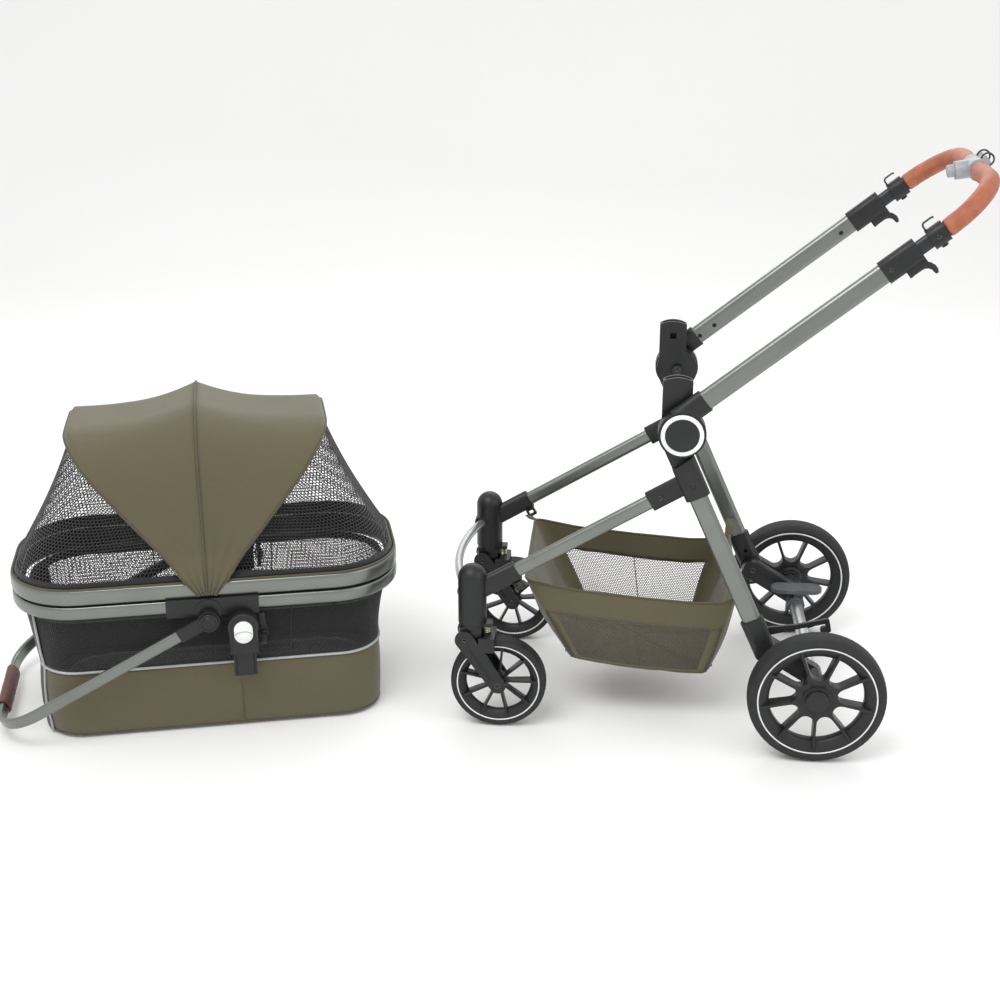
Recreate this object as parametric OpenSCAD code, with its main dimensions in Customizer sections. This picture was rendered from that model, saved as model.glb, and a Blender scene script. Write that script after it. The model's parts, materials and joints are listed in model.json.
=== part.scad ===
// Pet stroller: a wheeled folding chassis with a detachable pet carrier parked in front of it.
// Millimetres, +Z up. The chassis runs along X with its front towards -X. The right side is +Y.
// Side-view angles are counted from +X towards +Z.

/* [Chassis] */
// Height of the hub pivot above the floor
hub_z = 603; // [590:1:620]
// Radius of the round hub
hub_r = 42; // [38:1:44]
// Slope of the push tubes, degrees above horizontal
push_slope = 39; // [37:0.5:41]
// Distance of the push tubes' axis above the hub pivot
push_offset = 24; // [20:1:26]
// Lean of the rear legs from vertical, degrees
rear_lean = 24.5; // [23:0.5:26]
// Slope of the front legs, degrees
front_slope = 31; // [30:0.5:32]
// Width of the flat-oval push tube
push_w = 36; // [34:0.5:37]

/* [Wheels] */
// Radius of the rear wheels
rear_r = 125; // [122:1:126]
// Half of the rear track
rear_y = 263; // [260:1:268]
// Rear axle, distance behind the hub
rear_x = 261; // [255:1:265]
// Radius of the front wheels
front_r = 90.5; // [88:0.5:91]
// Half of the front track
front_y = 182; // [180:1:184]
// Caster swivel axis, distance in front of the hub
caster_x = 372; // [368:1:376]
// Caster trail, from the swivel axis to the wheel axle
trail = 49; // [46:1:50]
// Number of spokes
spokes = 9; // [7:1:11]

/* [Carrier] */
// Where the carrier stands, in front of the hub
park_x = 895; // [895:1:930]
// Where the carrier stands, to the left of the chassis centre plane
park_y = 92; // [80:1:100]
// Turn of the parked carrier about the vertical, degrees
park_yaw = 14.5; // [10:0.5:16]
// Half length of the rim
rim_l = 362; // [350:1:366]
// Half width of the rim
rim_w = 176; // [174:1:178]
// Height of the hood's pivot
hood_z = 264; // [262:1:266]
// Reach of the middle hood rib above its pivot
rib_mid_h = 346; // [340:1:350]
// Reach of the outer hood ribs from their pivot
rib_end_h = 384; // [378:1:388]
// Angle of the outer hood ribs from vertical, degrees
rib_a = 36; // [35:0.5:37]
// Height of the seam between the body's two fabrics
seam_z = 137; // [130:1:145]
// Slope of the folded-down carry handle, degrees
carry_a = 27.5; // [27:0.5:29]
// Reach of the carry handle from its pivot to the grip
carry_r = 450; // [445:1:455]

/* [Hidden] */
$fn = 48;
fit = 0.05;
wall = 2;
// Shift that puts the origin at the middle of the parked set, on the floor
origin = [398.4, 38.2, 0];

black = "#26282a";
steel_green = "#8a9089";
olive = "#6e6650";
mesh_black = "#1b1c1d";
tan = "#b5694b";
brown = "#5a3b2c";
silver = "#a9adb0";
pale = "#e6e8e4";
tyre_black = "#1d1e1f";

// Layers across the chassis, measured from its centre plane
front_leg_y = 179;
receiver_y = 186.25;
leg_y = 201;
push_y = 208;
hub_split_y = 203;
hub_out_y = 218;

// Rear leg line: a point on it and its direction
leg_p = [37, 475];
leg_a = -90 + rear_lean;
leg_w = 34;
leg_t = 17;
// Where the front leg pivots on the casing
fold_p = [23, 506];
// Distances along the front leg from that pivot
front_tube_start = 62;
front_socket_start = 364;
front_reach = (caster_x + fold_p[0]) / cos(front_slope);

// Distances along the push tube from the foot of the hub's normal
push_tube_start = 46;
collar_start = 430;
collar_len = 68;
end_collar_start = 520;
end_collar_len = 30;
bar_corner = 551;
bar_r = 104;
inner_w = 26;
inner_t = 13.9;

housing_r = 26.5;
housing_top = 329;
housing_bottom = 213;
pin_p = [-caster_x - 13, 184];
fork_y = 25;
fork_t = 6;
spring_x = -caster_x + 27;

axle_r = 6;
arm_p = [172, 180];
arm_y = 174;
arm_t = 23;
knuckle_out = 233;
hook_p = [158, 212];

carry_p = [0, 241];
rim_corner = 132;
ring_low = [250, 275];
ring_high = [279, 308];
bracket_x = 61;
base_l = 318;
base_w = 160;
pivot_r = 4;

// ---------- helpers ----------

// A point in the side view
function side_pt(p, a, s, n = 0) = [p[0] + s * cos(a) - n * sin(a), p[1] + s * sin(a) + n * cos(a)];

module place() translate(origin) children();

module place_carrier()
  translate(origin + [-park_x, -park_y, 0]) rotate([0, 0, park_yaw]) children();

// Both sides of the centre plane
module both() {
  children();
  mirror([0, 1, 0]) children();
}

// One side: "right" is +Y
module one(side) {
  if (side == "right") children();
  else mirror([0, 1, 0]) children();
}

// Local X runs along the side-view angle a from the point p
module along(p, a, y = 0) translate([p[0], y, p[1]]) rotate([0, -a, 0]) children();

module stadium(t, w) {
  square([t, w - t], center = true);
  for (s = [-1, 1]) translate([0, s * (w - t) / 2]) circle(d = t);
}

// A solid flat-oval bar along local X
module oval_bar(l, w, t) rotate([90, 0, 90]) linear_extrude(l) stadium(t, w);

// A flat-oval tube along local X
module oval_tube(l, w, t) rotate([90, 0, 90]) linear_extrude(l) difference() {
  stadium(t, w);
  stadium(t - 2 * wall, w - 2 * wall);
}

// A round piece about an axis along Y
module disc(p, r, y0, y1) translate([p[0], y1, p[1]]) rotate([90, 0, 0]) cylinder(r = r, h = y1 - y0);

// A flat link in the side view between two round ends
module link(p, rp, q, rq, y0, y1) {
  a = atan2(q[1] - p[1], q[0] - p[0]);
  translate([0, y1, 0]) rotate([90, 0, 0]) linear_extrude(y1 - y0) {
    translate(p) circle(rp);
    translate(q) circle(rq);
    polygon([side_pt(p, a, 0, rp), side_pt(p, a, 0, -rp), side_pt(q, a, 0, -rq), side_pt(q, a, 0, rq)]);
  }
}

// The push handle's own line
module on_push(s, n = 0, y = 0) along(side_pt([0, hub_z], push_slope, s, push_offset + n), push_slope, y) children();

module rounded_plan(l, w, r) {
  square([2 * l, 2 * (w - r)], center = true);
  square([2 * (l - r), 2 * w], center = true);
  for (x = [-1, 1], y = [-1, 1]) translate([x * (l - r), y * (w - r)]) circle(r, $fn = 96);
}

// ---------- front frame ----------

module front_legs() color(steel_green) place() both()
  along(fold_p, 180 + front_slope, front_leg_y) translate([front_tube_start, 0, 0])
    oval_tube(front_socket_start + 35 - front_tube_start, 27, 16);

module front_upper_sockets() color(black) place() both() difference() {
  union() {
    disc(fold_p, 20, front_leg_y - 9, front_leg_y + 9.5);
    along(fold_p, 180 + front_slope, front_leg_y) oval_bar(86, 39, 18.5);
  }
  along(fold_p, 180 + front_slope, front_leg_y) translate([front_tube_start - 1, 0, 0])
    oval_bar(60, 27 + 2 * fit, 16 + 2 * fit);
  disc(fold_p, 5 + fit, front_leg_y - 20, front_leg_y + 20);
}

module front_lower_sockets() color(black) place() both() {
  difference() {
    union() {
      translate([-caster_x, front_y, housing_bottom]) cylinder(r = housing_r, h = housing_top - housing_bottom - housing_r);
      translate([-caster_x, front_y, housing_top - housing_r]) sphere(housing_r);
      along(fold_p, 180 + front_slope, front_leg_y) translate([front_socket_start, 0, 0])
        oval_bar(front_reach - front_socket_start - 8, 38, 21);
      disc([-caster_x - 16, 270], 13, front_y - 29, front_y - 5);
    }
    along(fold_p, 180 + front_slope, front_leg_y) translate([front_socket_start - 1, 0, 0])
      oval_bar(37, 27 + 2 * fit, 16 + 2 * fit);
    translate([-caster_x, front_y, housing_bottom - 1]) cylinder(r = 10 + fit, h = 71);
    disc([-caster_x - 16, 270], 8 + fit, front_y - 40, front_y - 15);
  }
}

// The silver bar bows forward between the two caster housings
bow_depth = 26;
bow_half = front_y - 29;
bow_r = (bow_half * bow_half + bow_depth * bow_depth) / (2 * bow_depth);
bow_a = asin(bow_half / bow_r);
module front_crossbar() color(silver) place() {
  translate([-caster_x - 16 - bow_depth + bow_r, 0, 270]) rotate([0, 0, 180 - bow_a])
    rotate_extrude(angle = 2 * bow_a, $fn = 256) translate([bow_r, 0]) circle(8);
  both() disc([-caster_x - 16, 270], 8, front_y - 30.5, front_y - 16);
}

basket_out = [[-262, 276], [-200, 124], [78, 104], [118, 252]];
basket_in = [[-262.8, 286], [-197.6, 127], [75.8, 107.4], [124, 286]];
module basket() color(olive) place() difference() {
  translate([0, 152, 0]) rotate([90, 0, 0]) linear_extrude(304) polygon(basket_out);
  translate([0, 149, 0]) rotate([90, 0, 0]) linear_extrude(298) polygon(basket_in);
}

// Clips under the front legs that the basket's straps hang from
module basket_hooks() color(black) place() both()
  along(fold_p, 180 + front_slope, front_leg_y) translate([front_socket_start + 12, 0, 0]) difference() {
    translate([-9, -5, 19.5]) cube([18, 10, 16]);
    translate([-5, -6, 23]) cube([10, 12, 8]);
  }

// ---------- rear frame ----------

// A sloping recess in each casing lets the push handle's socket fold past it

module leg_casings() color(black) place() both() difference() {
  union() {
    disc([0, hub_z], hub_r, 190, hub_split_y - 0.5);
    difference() {
      along(side_pt(leg_p, leg_a, -118), leg_a, leg_y) oval_bar(110, 46, 22);
      along([0, hub_z], push_slope + 180) translate([-100, 197.5, -100]) cube([300, 40, 146]);
    }
  }
  disc([0, hub_z], hub_r + 4.5, hub_split_y - 0.5, 230);
  along(side_pt(leg_p, leg_a, -66), leg_a, leg_y) oval_bar(120, leg_w + 2 * fit, leg_t + 2 * fit);
  disc([0, hub_z], 5 + fit, 180, 230);
  disc(fold_p, 5 + fit, 180, 230);
}

module receivers() color(black) place() both() difference() {
  union() {
    disc([0, hub_z], 40, 176.5, 189.5);
    translate([-36, 176, hub_z - 6]) cube([52, 20.5, 90]);
    translate([-10, 196.5, hub_z + 45]) rotate([90, 0, 0]) intersection() {
      cylinder(r = 52, h = 20.5, $fn = 128);
      translate([-26, 0, -1]) cube([52, 60, 23]);
    }
  }
  translate([-10 - 21.5, receiver_y - 5.5, hub_z + 24]) cube([43, 11, 120]);
  translate([-16, 170, hub_z + 62]) cube([12, 12, 12]);
  disc([0, hub_z], 5 + fit, 170, 200);
  disc([0, hub_z], hub_r + 0.5, 189.5, 200);
}

module rear_legs() color(steel_green) place() both() difference() {
  along(side_pt(leg_p, leg_a, -64), leg_a, leg_y) oval_tube(348, leg_w, leg_t);
  disc(fold_p, 5 + fit, 180, 220);
}

module rear_leg_sockets() color(black) place() both() difference() {
  union() {
    along(side_pt(leg_p, leg_a, 252), leg_a, leg_y) oval_bar(78, 43, 23);
    link(side_pt(leg_p, leg_a, 318), 19, arm_p, 17, 189.5, 212.5);
  }
  along(side_pt(leg_p, leg_a, 251), leg_a, leg_y) oval_bar(34, leg_w + 2 * fit, leg_t + 2 * fit);
  disc(arm_p, 5 + fit, 150, 230);
  disc(hook_p, 4 + fit, 180, 200);
}

// Pivot bolts: two at the hub, two at the front-leg pivots, each with a head inside
module hub_bolts() color("#53575a") place() both() {
  disc([0, hub_z], 5, 172, 221);
  disc([0, hub_z], 9, 169.5, 172);
  disc(fold_p, 5, 168, 208);
  disc(fold_p, 8.5, 165.5, 168);
}

// ---------- push handle ----------

module push_sockets() color(black) place() both() difference() {
  union() {
    disc([0, hub_z], hub_r, hub_split_y, hub_out_y);
    on_push(8, 0, push_y) oval_bar(60, 43, 20);
  }
  disc([0, hub_z], hub_r + 5, 180, hub_split_y);
  on_push(push_tube_start - 1, 0, push_y) oval_bar(60, push_w + 2 * fit, 18 + 2 * fit);
  disc([0, hub_z], 5 + fit, 180, 230);
  disc([0, hub_z], 36.2, hub_out_y - 4, 230);
}

module push_tubes() color(steel_green) place() both()
  on_push(push_tube_start, 0, push_y) oval_tube(collar_start + 38 - push_tube_start, push_w, 18);

module hub_caps() color(black) place() both() difference() {
  union() {
    disc([0, hub_z], 36, hub_out_y - 4, hub_out_y + 3);
    disc([0, hub_z], 30, hub_out_y + 3, hub_out_y + 4.5);
  }
  disc([0, hub_z], 5 + fit, 200, hub_out_y + 3.1);
  difference() {
    disc([0, hub_z], 38, hub_out_y + 1.5, hub_out_y + 8);
    disc([0, hub_z], 30, hub_out_y, hub_out_y + 9);
  }
}

module hub_rings() color(pale) place() both() difference() {
  disc([0, hub_z], 37.5, hub_out_y + 1.5 + fit, hub_out_y + 4);
  disc([0, hub_z], 30 + fit, hub_out_y, hub_out_y + 9);
}

module handle_collars() color(black) place() both() difference() {
  union() {
    on_push(collar_start, 0, push_y) oval_bar(collar_len, 43, 24);
    on_push(collar_start + 30, -24, push_y) oval_bar(collar_len - 30, 20, 16);
  }
  on_push(collar_start - 1, 0, push_y) oval_bar(40, push_w + 2 * fit, 18 + 2 * fit);
  on_push(collar_start, 0, push_y) oval_bar(100, 26.2, 14.2);
  on_push(collar_start + 36, -27, push_y) translate([0, -5, -12]) cube([60, 10, 21]);
}

// Finger trigger in the slot under each collar
module trigger(side) color(black) place() one(side) {
  on_push(collar_start + 46, -25, push_y) translate([0, -4.5, -7]) cube([24, 9, 10]);
  on_push(collar_start + 62, -25, push_y) translate([0, -4.5, -28]) cube([8, 9, 22]);
}

module trigger_left() trigger("left");
module trigger_right() trigger("right");

// ---------- handlebar ----------

// The handlebar's own plane: local X along the push tubes, local Y across
module bar_plane(s) on_push(s) children();

// A round U bar on two flat-oval inner tubes
module handlebar_tube() color("#3a3e3f") place() {
  both() on_push(collar_start - 130, 0, push_y) oval_bar(bar_corner - collar_start + 130, inner_w, inner_t);
  both() bar_plane(bar_corner) translate([0, push_y - bar_r, 0])
    rotate_extrude(angle = 90, $fn = 96) translate([bar_r, 0]) circle(9);
  bar_plane(bar_corner + bar_r) rotate([90, 0, 0])
    cylinder(r = 9, h = 2 * (push_y - bar_r), center = true);
}

module end_collars() color(black) place() both() difference() {
  union() {
    on_push(end_collar_start, 0, push_y) oval_bar(end_collar_len, 38, 30);
    on_push(end_collar_start + 10, 0, push_y) translate([5, 0, -22]) cylinder(r = 6, h = 10);
  }
  on_push(end_collar_start - 1, 0, push_y) oval_bar(end_collar_len + 2, inner_w + 2 * fit, inner_t + 2 * fit);
}

// Bent wire hooks on the end collars and two leash rings behind the block
module wire_hook() {
  translate([0, 0, 19 + fit]) cylinder(r = 1.6, h = 8 - fit);
  translate([3, 0, 27]) rotate([90, 0, 180]) rotate_extrude(angle = -90) translate([3, 0]) circle(1.6);
  translate([3, 0, 30]) rotate([0, 90, 0]) cylinder(r = 1.6, h = 17);
}
ring_r = 11;
module handle_wire_loops() color("#2e3133") place() {
  both() on_push(end_collar_start + 3, 0, push_y) wire_hook();
  for (y = [-17, 17]) bar_plane(bar_corner + bar_r + 22) translate([0, y, 4])
    rotate([90, 0, 0]) rotate_extrude($fn = 48) translate([ring_r, 0]) circle(1.6);
}

sleeve_r = 16;
module grip_sleeves() color(tan) place() both() {
  bar_plane(bar_corner) translate([0, push_y - bar_r, 0]) rotate_extrude(angle = 90, $fn = 96)
    translate([bar_r, 0]) difference() {
      circle(sleeve_r);
      circle(9 + fit);
    }
  bar_plane(bar_corner + bar_r) translate([0, 30, 0]) rotate([-90, 0, 0])
    linear_extrude(push_y - bar_r - 30) difference() {
      circle(sleeve_r);
      circle(9 + fit);
    }
}

module handle_block() color(silver) place() difference() {
  union() {
    bar_plane(bar_corner + bar_r) rotate([90, 0, 0]) cylinder(r = 19, h = 59, center = true);
    bar_plane(bar_corner + bar_r) rotate([0, -150, 0]) rotate([0, 90, 0]) cylinder(r = 16, h = 36);
    bar_plane(bar_corner + bar_r + 6) translate([0, -22, -4]) cube([18, 44, 16]);
  }
  bar_plane(bar_corner + bar_r) rotate([90, 0, 0]) cylinder(r = 9 + fit, h = 80, center = true);
  bar_plane(bar_corner + bar_r) rotate([0, -150, 0]) translate([24, 0, 0]) rotate([0, 90, 0]) cylinder(r = 11.2, h = 30);
  for (y = [-17, 17]) bar_plane(bar_corner + bar_r + 22) translate([0, y, 4])
    rotate([90, 0, 0]) rotate_extrude($fn = 48) translate([ring_r, 0]) circle(1.65);
}

module handle_button() color(silver) place()
  bar_plane(bar_corner + bar_r) rotate([0, -150, 0]) translate([31, 0, 0]) rotate([0, 90, 0]) cylinder(r = 11, h = 18);

// ---------- rear axle ----------

module axle_tube() color(silver) place() {
  rotate([90, 0, 0]) translate([rear_x, rear_r, 0]) cylinder(r = 12, h = 2 * (arm_y - arm_t / 2), center = true);
  both() disc([rear_x, rear_r], axle_r, arm_y - arm_t / 2 - 0.01, rear_y + 17);
}

module trailing_arms() color(black) place() both() difference() {
  union() {
    link(arm_p, 19, [rear_x, rear_r], 19, arm_y - arm_t / 2, arm_y + arm_t / 2);
    disc([rear_x, rear_r], 19, arm_y, knuckle_out);
    disc(arm_p, 5, arm_y, 216);
  }
  disc([rear_x, rear_r], axle_r + fit, 100, 300);
}

pedal_y = [114, 158];
module brake_pedal() color("#6f7478") place() difference() {
  union() {
    disc([rear_x, rear_r], 17, pedal_y[0] + 4, pedal_y[1] - 4);
    translate([rear_x - 5, pedal_y[0] + 8, rear_r + 12]) cube([10, 28, 16]);
    translate([rear_x, (pedal_y[0] + pedal_y[1]) / 2, rear_r + 26]) linear_extrude(8) rotate([0, 0, 90])
      stadium(40, 102);
  }
  disc([rear_x, rear_r], 12 + 2 * fit, 0, 300);
}

module storage_hook() color(black) place() mirror([0, 1, 0]) {
  link(hook_p, 9, [225, 226], 4.5, 181, 187);
  link([225, 226], 4.5, [280, 240], 4.5, 181, 187);
  link([280, 240], 4.5, [284, 222], 4.5, 181, 187);
  disc([276, 221], 7, 178, 188);
  disc(hook_p, 4, 181, 199);
}

// ---------- wheels ----------

// Tyre section, turned about the wheel's own axis along local Z
module tyre_shape(r_in, r_out, w, c) rotate_extrude($fn = 128) difference() {
  union() {
    translate([r_in - 1, -w / 2]) square([r_out - c - r_in + 1, w]);
    translate([r_in - 1, -w / 2 + c]) square([r_out - r_in + 1, w - 2 * c]);
    for (s = [-1, 1]) translate([r_out - c, s * (w / 2 - c)]) circle(c);
  }
  translate([r_in - 2 * c, -w]) square([2 * c, 2 * w]);
}

module rim_shape(r_open, r_out, w, r_hub, w_hub, w_spoke, t_spoke, bore) difference() {
  union() {
    rotate_extrude($fn = 128) polygon([
      [r_open, -w / 2 + 8], [r_open + 4, -w / 2 + 3], [r_out - 3, -w / 2], [r_out, -w / 2],
      [r_out, w / 2], [r_out - 3, w / 2], [r_open + 4, w / 2 - 3], [r_open, w / 2 - 8]]);
    for (i = [0 : spokes - 1]) rotate([0, 0, 90 + i * 360 / spokes])
      translate([r_hub - 3, -t_spoke / 2, -w_spoke / 2]) cube([r_open - r_hub + 6, t_spoke, w_spoke]);
    cylinder(r = r_hub, h = w_spoke + 4, center = true);
    cylinder(r = r_hub * 0.72, h = w_hub, center = true);
  }
  cylinder(r = bore, h = w_hub + 20, center = true);
}

module rear_at(side) place() one(side) translate([rear_x, rear_y, rear_r]) rotate([-90, 0, 0]) children();

module rear_tyre(side) color(tyre_black) rear_at(side) tyre_shape(107 + fit, rear_r, 43, 13);
module rear_rim(side) color(black) rear_at(side) {
  rim_shape(86, 107, 38, 36, 46, 20, 5, axle_r + 0.06);
  translate([0, 0, 18]) cylinder(r = 21.5, h = 7);
}
module rear_tyre_left() rear_tyre("left");
module rear_tyre_right() rear_tyre("right");
module rear_rim_left() rear_rim("left");
module rear_rim_right() rear_rim("right");

module front_at(side) place() one(side) translate([-caster_x + trail, front_y, front_r]) rotate([-90, 0, 0]) children();

module front_tyre(side) color(tyre_black) front_at(side) tyre_shape(77 + fit, front_r, 36, 11);
module front_rim(side) color(black) front_at(side)
  rim_shape(61, 77, 32, 15, 41, 14, 4.5, 4 + 0.06);
module front_tyre_left() front_tyre("left");
module front_tyre_right() front_tyre("right");
module front_rim_left() front_rim("left");
module front_rim_right() front_rim("right");

// ---------- casters ----------

// The yoke swivels in the housing and carries the fork's pivot pin
module caster_yoke(side) color(black) place() one(side) difference() {
  union() {
    translate([-caster_x, front_y, housing_bottom - 10]) cylinder(r = 10, h = 75);
    translate([-caster_x, front_y, housing_bottom - 8]) cylinder(r = 24, h = 7.7);
    translate([-caster_x - 22, front_y - 20, pin_p[1] + 4]) cube([40, 40, housing_bottom - pin_p[1] - 10]);
    disc(pin_p, 15, front_y - 20, front_y + 20);
    disc(pin_p, 4, front_y - 27, front_y + 27);
    translate([spring_x - 10, front_y - 11, housing_bottom - 7]) cube([20, 22, 6.7]);
  }
  translate([-caster_x + trail, front_y, front_r]) rotate([90, 0, 0])
    cylinder(r = front_r + 3, h = 80, center = true);
}

module caster_fork(side) color(black) place() one(side) {
  translate([0, front_y, 0]) {
    for (s = [-1, 1]) difference() {
      link(pin_p, 18, [-caster_x + trail, front_r], 15,
        s * fork_y - fork_t / 2 * s - (s < 0 ? fork_t : 0), s * fork_y - fork_t / 2 * s + (s < 0 ? 0 : fork_t));
      link(side_pt(pin_p, -58, 22), 2.2, side_pt(pin_p, -58, 92), 2.2, s > 0 ? 26.6 : -40, s > 0 ? 40 : -26.6);
      disc(pin_p, 4.06, -40, 40);
    }
    disc([-caster_x + trail, front_r], 4, -27, 27);
    translate([spring_x - 5, -23, 184]) cube([21, 46, 5]);
    for (s = [-1, 1]) translate([spring_x - 14, s * 25 - 3, 160]) cube([30, 6, 29]);
  }
}

spring_turns = 3;
module caster_spring(side) color("#b9b58f") place() one(side)
  for (i = [0 : spring_turns]) translate([spring_x, front_y, 190.7 + i * 3.9])
    rotate_extrude($fn = 32) translate([7, 0]) circle(1.4, $fn = 16);

module caster_yoke_left() caster_yoke("left");
module caster_yoke_right() caster_yoke("right");
module caster_fork_left() caster_fork("left");
module caster_fork_right() caster_fork("right");
module caster_spring_left() caster_spring("left");
module caster_spring_right() caster_spring("right");

// ---------- carrier ----------

module ring_band(z, t) translate([0, 0, z[0]]) linear_extrude(z[1] - z[0]) difference() {
  rounded_plan(rim_l, rim_w, rim_corner);
  rounded_plan(rim_l - t, rim_w - t, rim_corner - t);
}

module lower_ring() color(steel_green) place_carrier() ring_band(ring_low, 12);
module upper_ring() color(steel_green) place_carrier() ring_band(ring_high, 10);

module hub_housings() color(black) place_carrier() both() difference() {
  union() {
    translate([-76, rim_w - 17, 244]) cube([168, 21, 34.9]);
    disc([0, hood_z - 10], 24, rim_w - 12.9, rim_w + 7);
    disc(carry_p, 20, rim_w - 12, rim_w + 7);
  }
  ring_fit();
  disc([0, hood_z], 26, rim_w - 40, rim_w - 14);
  disc(carry_p, 5 + fit, 100, 300);
}
// Room for the lower ring through the housings and brackets
module ring_fit() translate([0, 0, ring_low[0] - fit]) linear_extrude(ring_low[1] - ring_low[0] + 2 * fit) difference() {
  rounded_plan(rim_l + fit, rim_w + fit, rim_corner);
  rounded_plan(rim_l - 12 - fit, rim_w - 12 - fit, rim_corner - 12);
}

module carrier_brackets() color(black) place_carrier() both() difference() {
  union() {
    disc([bracket_x, 226], 28, 181, 203);
    translate([bracket_x - 26, 181, 173]) cube([52, 22, 50]);
    translate([bracket_x - 21, receiver_y - 5, 122]) cube([42, 10, 52]);
  }
  translate([bracket_x, 196, 217]) rotate([-90, 0, 0]) linear_extrude(30) stadium(34.6, 44.6);
  translate([-76 - fit, 100, 243.5]) cube([168 + 2 * fit, rim_w + 4 + fit - 100, 60]);
  for (s = [-1, 1]) translate([bracket_x + s * 16 - 1, 188.5, 126]) cube([2, 10, 44]);
}

module release_button(side) color(pale) place_carrier() one(side)
  translate([bracket_x, 199.2, 217]) rotate([-90, 0, 0]) linear_extrude(7) stadium(34, 44);
module release_button_left() release_button("left");
module release_button_right() release_button("right");

module body_lower() color(olive) place_carrier() difference() {
  linear_extrude(seam_z) rounded_plan(base_l, base_w, 78);
  translate([0, 0, 4]) linear_extrude(seam_z) rounded_plan(base_l - 4, base_w - 4, 74);
}

module body_upper() color(mesh_black) place_carrier() difference() {
  translate([0, 0, seam_z]) linear_extrude(248 - seam_z) rounded_plan(base_l + 12, base_w + 3, 96);
  translate([0, 0, seam_z - 1]) linear_extrude(130) rounded_plan(base_l + 8, base_w - 1, 92);
  translate([0, 0, seam_z - 1]) linear_extrude(130) rounded_plan(base_l - 4, base_w - 4, 74);
  both() translate([-76 - fit, rim_w - 17 - fit, 244 - fit]) cube([168 + 2 * fit, 21, 37]);
}

module floor_mat() color("#5d5a50") place_carrier() translate([0, 0, 4.3]) linear_extrude(22)
  rounded_plan(base_l - 10, base_w - 10, 66);

// One hood rib in its own plane: legs from the pivot, two round corners and a level top
module rib(a, h, w, corner) translate([0, 0, hood_z]) rotate([0, a, 0]) {
  both() {
    translate([0, w, 12]) cylinder(r = 3.5, h = h - corner - 12);
    translate([0, w - corner, h - corner]) rotate([90, 0, 90])
      rotate_extrude(angle = 90, $fn = 96) translate([corner, 0]) circle(3.5);
    difference() {
      disc([0, 0], 13, w - 3.7, w + 3.7);
      disc([0, 0], pivot_r + fit, w - 10, w + 10);
    }
  }
  translate([0, 0, h]) rotate([90, 0, 0]) cylinder(r = 3.5, h = 2 * (w - corner) + 0.1, center = true);
}

rib_rear_y = 156;
rib_mid_y = 148;
rib_front_y = 140;
rib_corner = 112;

module rib_rear() color(black) place_carrier() {
  rib(rib_a, rib_end_h, rib_rear_y, rib_corner);
  both() disc([0, hood_z], pivot_r, rib_front_y - 5, rim_w - 14.5);
}
module rib_mid() color(black) place_carrier() rib(0, rib_mid_h, rib_mid_y, rib_corner);
module rib_front() color(black) place_carrier() rib(-rib_a, rib_end_h, rib_front_y, rib_corner);

// The filled outline of a rib, as a thin plate
module rib_plate(a, h, w, low) translate([0, 0, hood_z]) rotate([0, a, 0]) translate([-0.5, 0, 0])
  rotate([90, 0, 90]) linear_extrude(1) {
    translate([-w, low]) square([2 * w, h - rib_corner - low]);
    translate([-(w - rib_corner), low]) square([2 * (w - rib_corner), h - low]);
    for (s = [-1, 1]) translate([s * (w - rib_corner), h - rib_corner]) circle(rib_corner, $fn = 32);
  }

module hood_part(a0, h0, a1, h1, grow, extra) hull() {
  rib_plate(a0 - extra, h0 + grow, 160 + grow, 0);
  rib_plate(a1 + extra, h1 + grow, 160 + grow, 0);
}

// Hood cloth over the three ribs
module hood_fabric() color(olive) place_carrier() difference() {
  union() {
    hood_part(-rib_a, rib_end_h, 0, rib_mid_h, 10.5, 0);
    hood_part(0, rib_mid_h, rib_a, rib_end_h, 10.5, 0);
  }
  hood_part(-rib_a, rib_end_h, 0, rib_mid_h, 8, 1.2);
  hood_part(0, rib_mid_h, rib_a, rib_end_h, 8, 1.2);
  translate([-600, -300, 0]) cube([1200, 600, ring_high[1] + 0.1]);
}

// The netting at each end, from an outer rib down to the rim
module net_outer(s, grow, extra) hull() {
  mirror([s < 0 ? 0 : 1, 0, 0]) rib_plate(-rib_a, rib_end_h + grow - 4, 156 + grow, 0);
  translate([0, 0, ring_high[1] + 1 - extra]) linear_extrude(1) intersection() {
    rounded_plan(rim_l - 8 + grow, rim_w - 8 + grow, rim_corner - 8);
    translate([s < 0 ? -500 : 0, -300]) square([500, 600]);
  }
}
module net(s) difference() {
  net_outer(s, 0, 0);
  net_outer(s, -2.5, 12);
  mirror([s < 0 ? 0 : 1, 0, 0]) translate([0, 0, hood_z]) rotate([0, -rib_a, 0])
    translate([-9, -400, -100]) cube([600, 800, 800]);
  translate([-600, -300, 0]) cube([1200, 600, ring_high[1] + 0.5]);
}
module net_rear() color("#3a3d3f") place_carrier() net(1);
module net_front() color("#3a3d3f") place_carrier() net(-1);

// ---------- carry handle ----------

carry_y = 190;
carry_corner = 90;
module on_carry(s, y = 0) along(carry_p, 180 + carry_a, y) translate([s, 0, 0]) children();

module carry_tube() color(steel_green) place_carrier() {
  both() on_carry(40, carry_y) oval_bar(carry_r - 40 - carry_corner, 23, 11);
  both() on_carry(carry_r - carry_corner, carry_y - carry_corner) rotate_extrude(angle = 90, $fn = 96)
    translate([carry_corner, 0]) stadium(11, 23);
  on_carry(carry_r) rotate([90, 0, 0]) linear_extrude(2 * (carry_y - carry_corner) + 0.02, center = true)
    stadium(11, 23);
}

module carry_sockets() color(black) place_carrier() both() difference() {
  union() {
    disc(carry_p, 20, rim_w + 7.5, rim_w + 24);
    disc(carry_p, 17, rim_w + 24, rim_w + 26);
    on_carry(0, carry_y + 1.5) oval_bar(62, 28, 15);
  }
  on_carry(38, carry_y) oval_bar(40, 23 + 2 * fit, 11 + 2 * fit);
}

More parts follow.
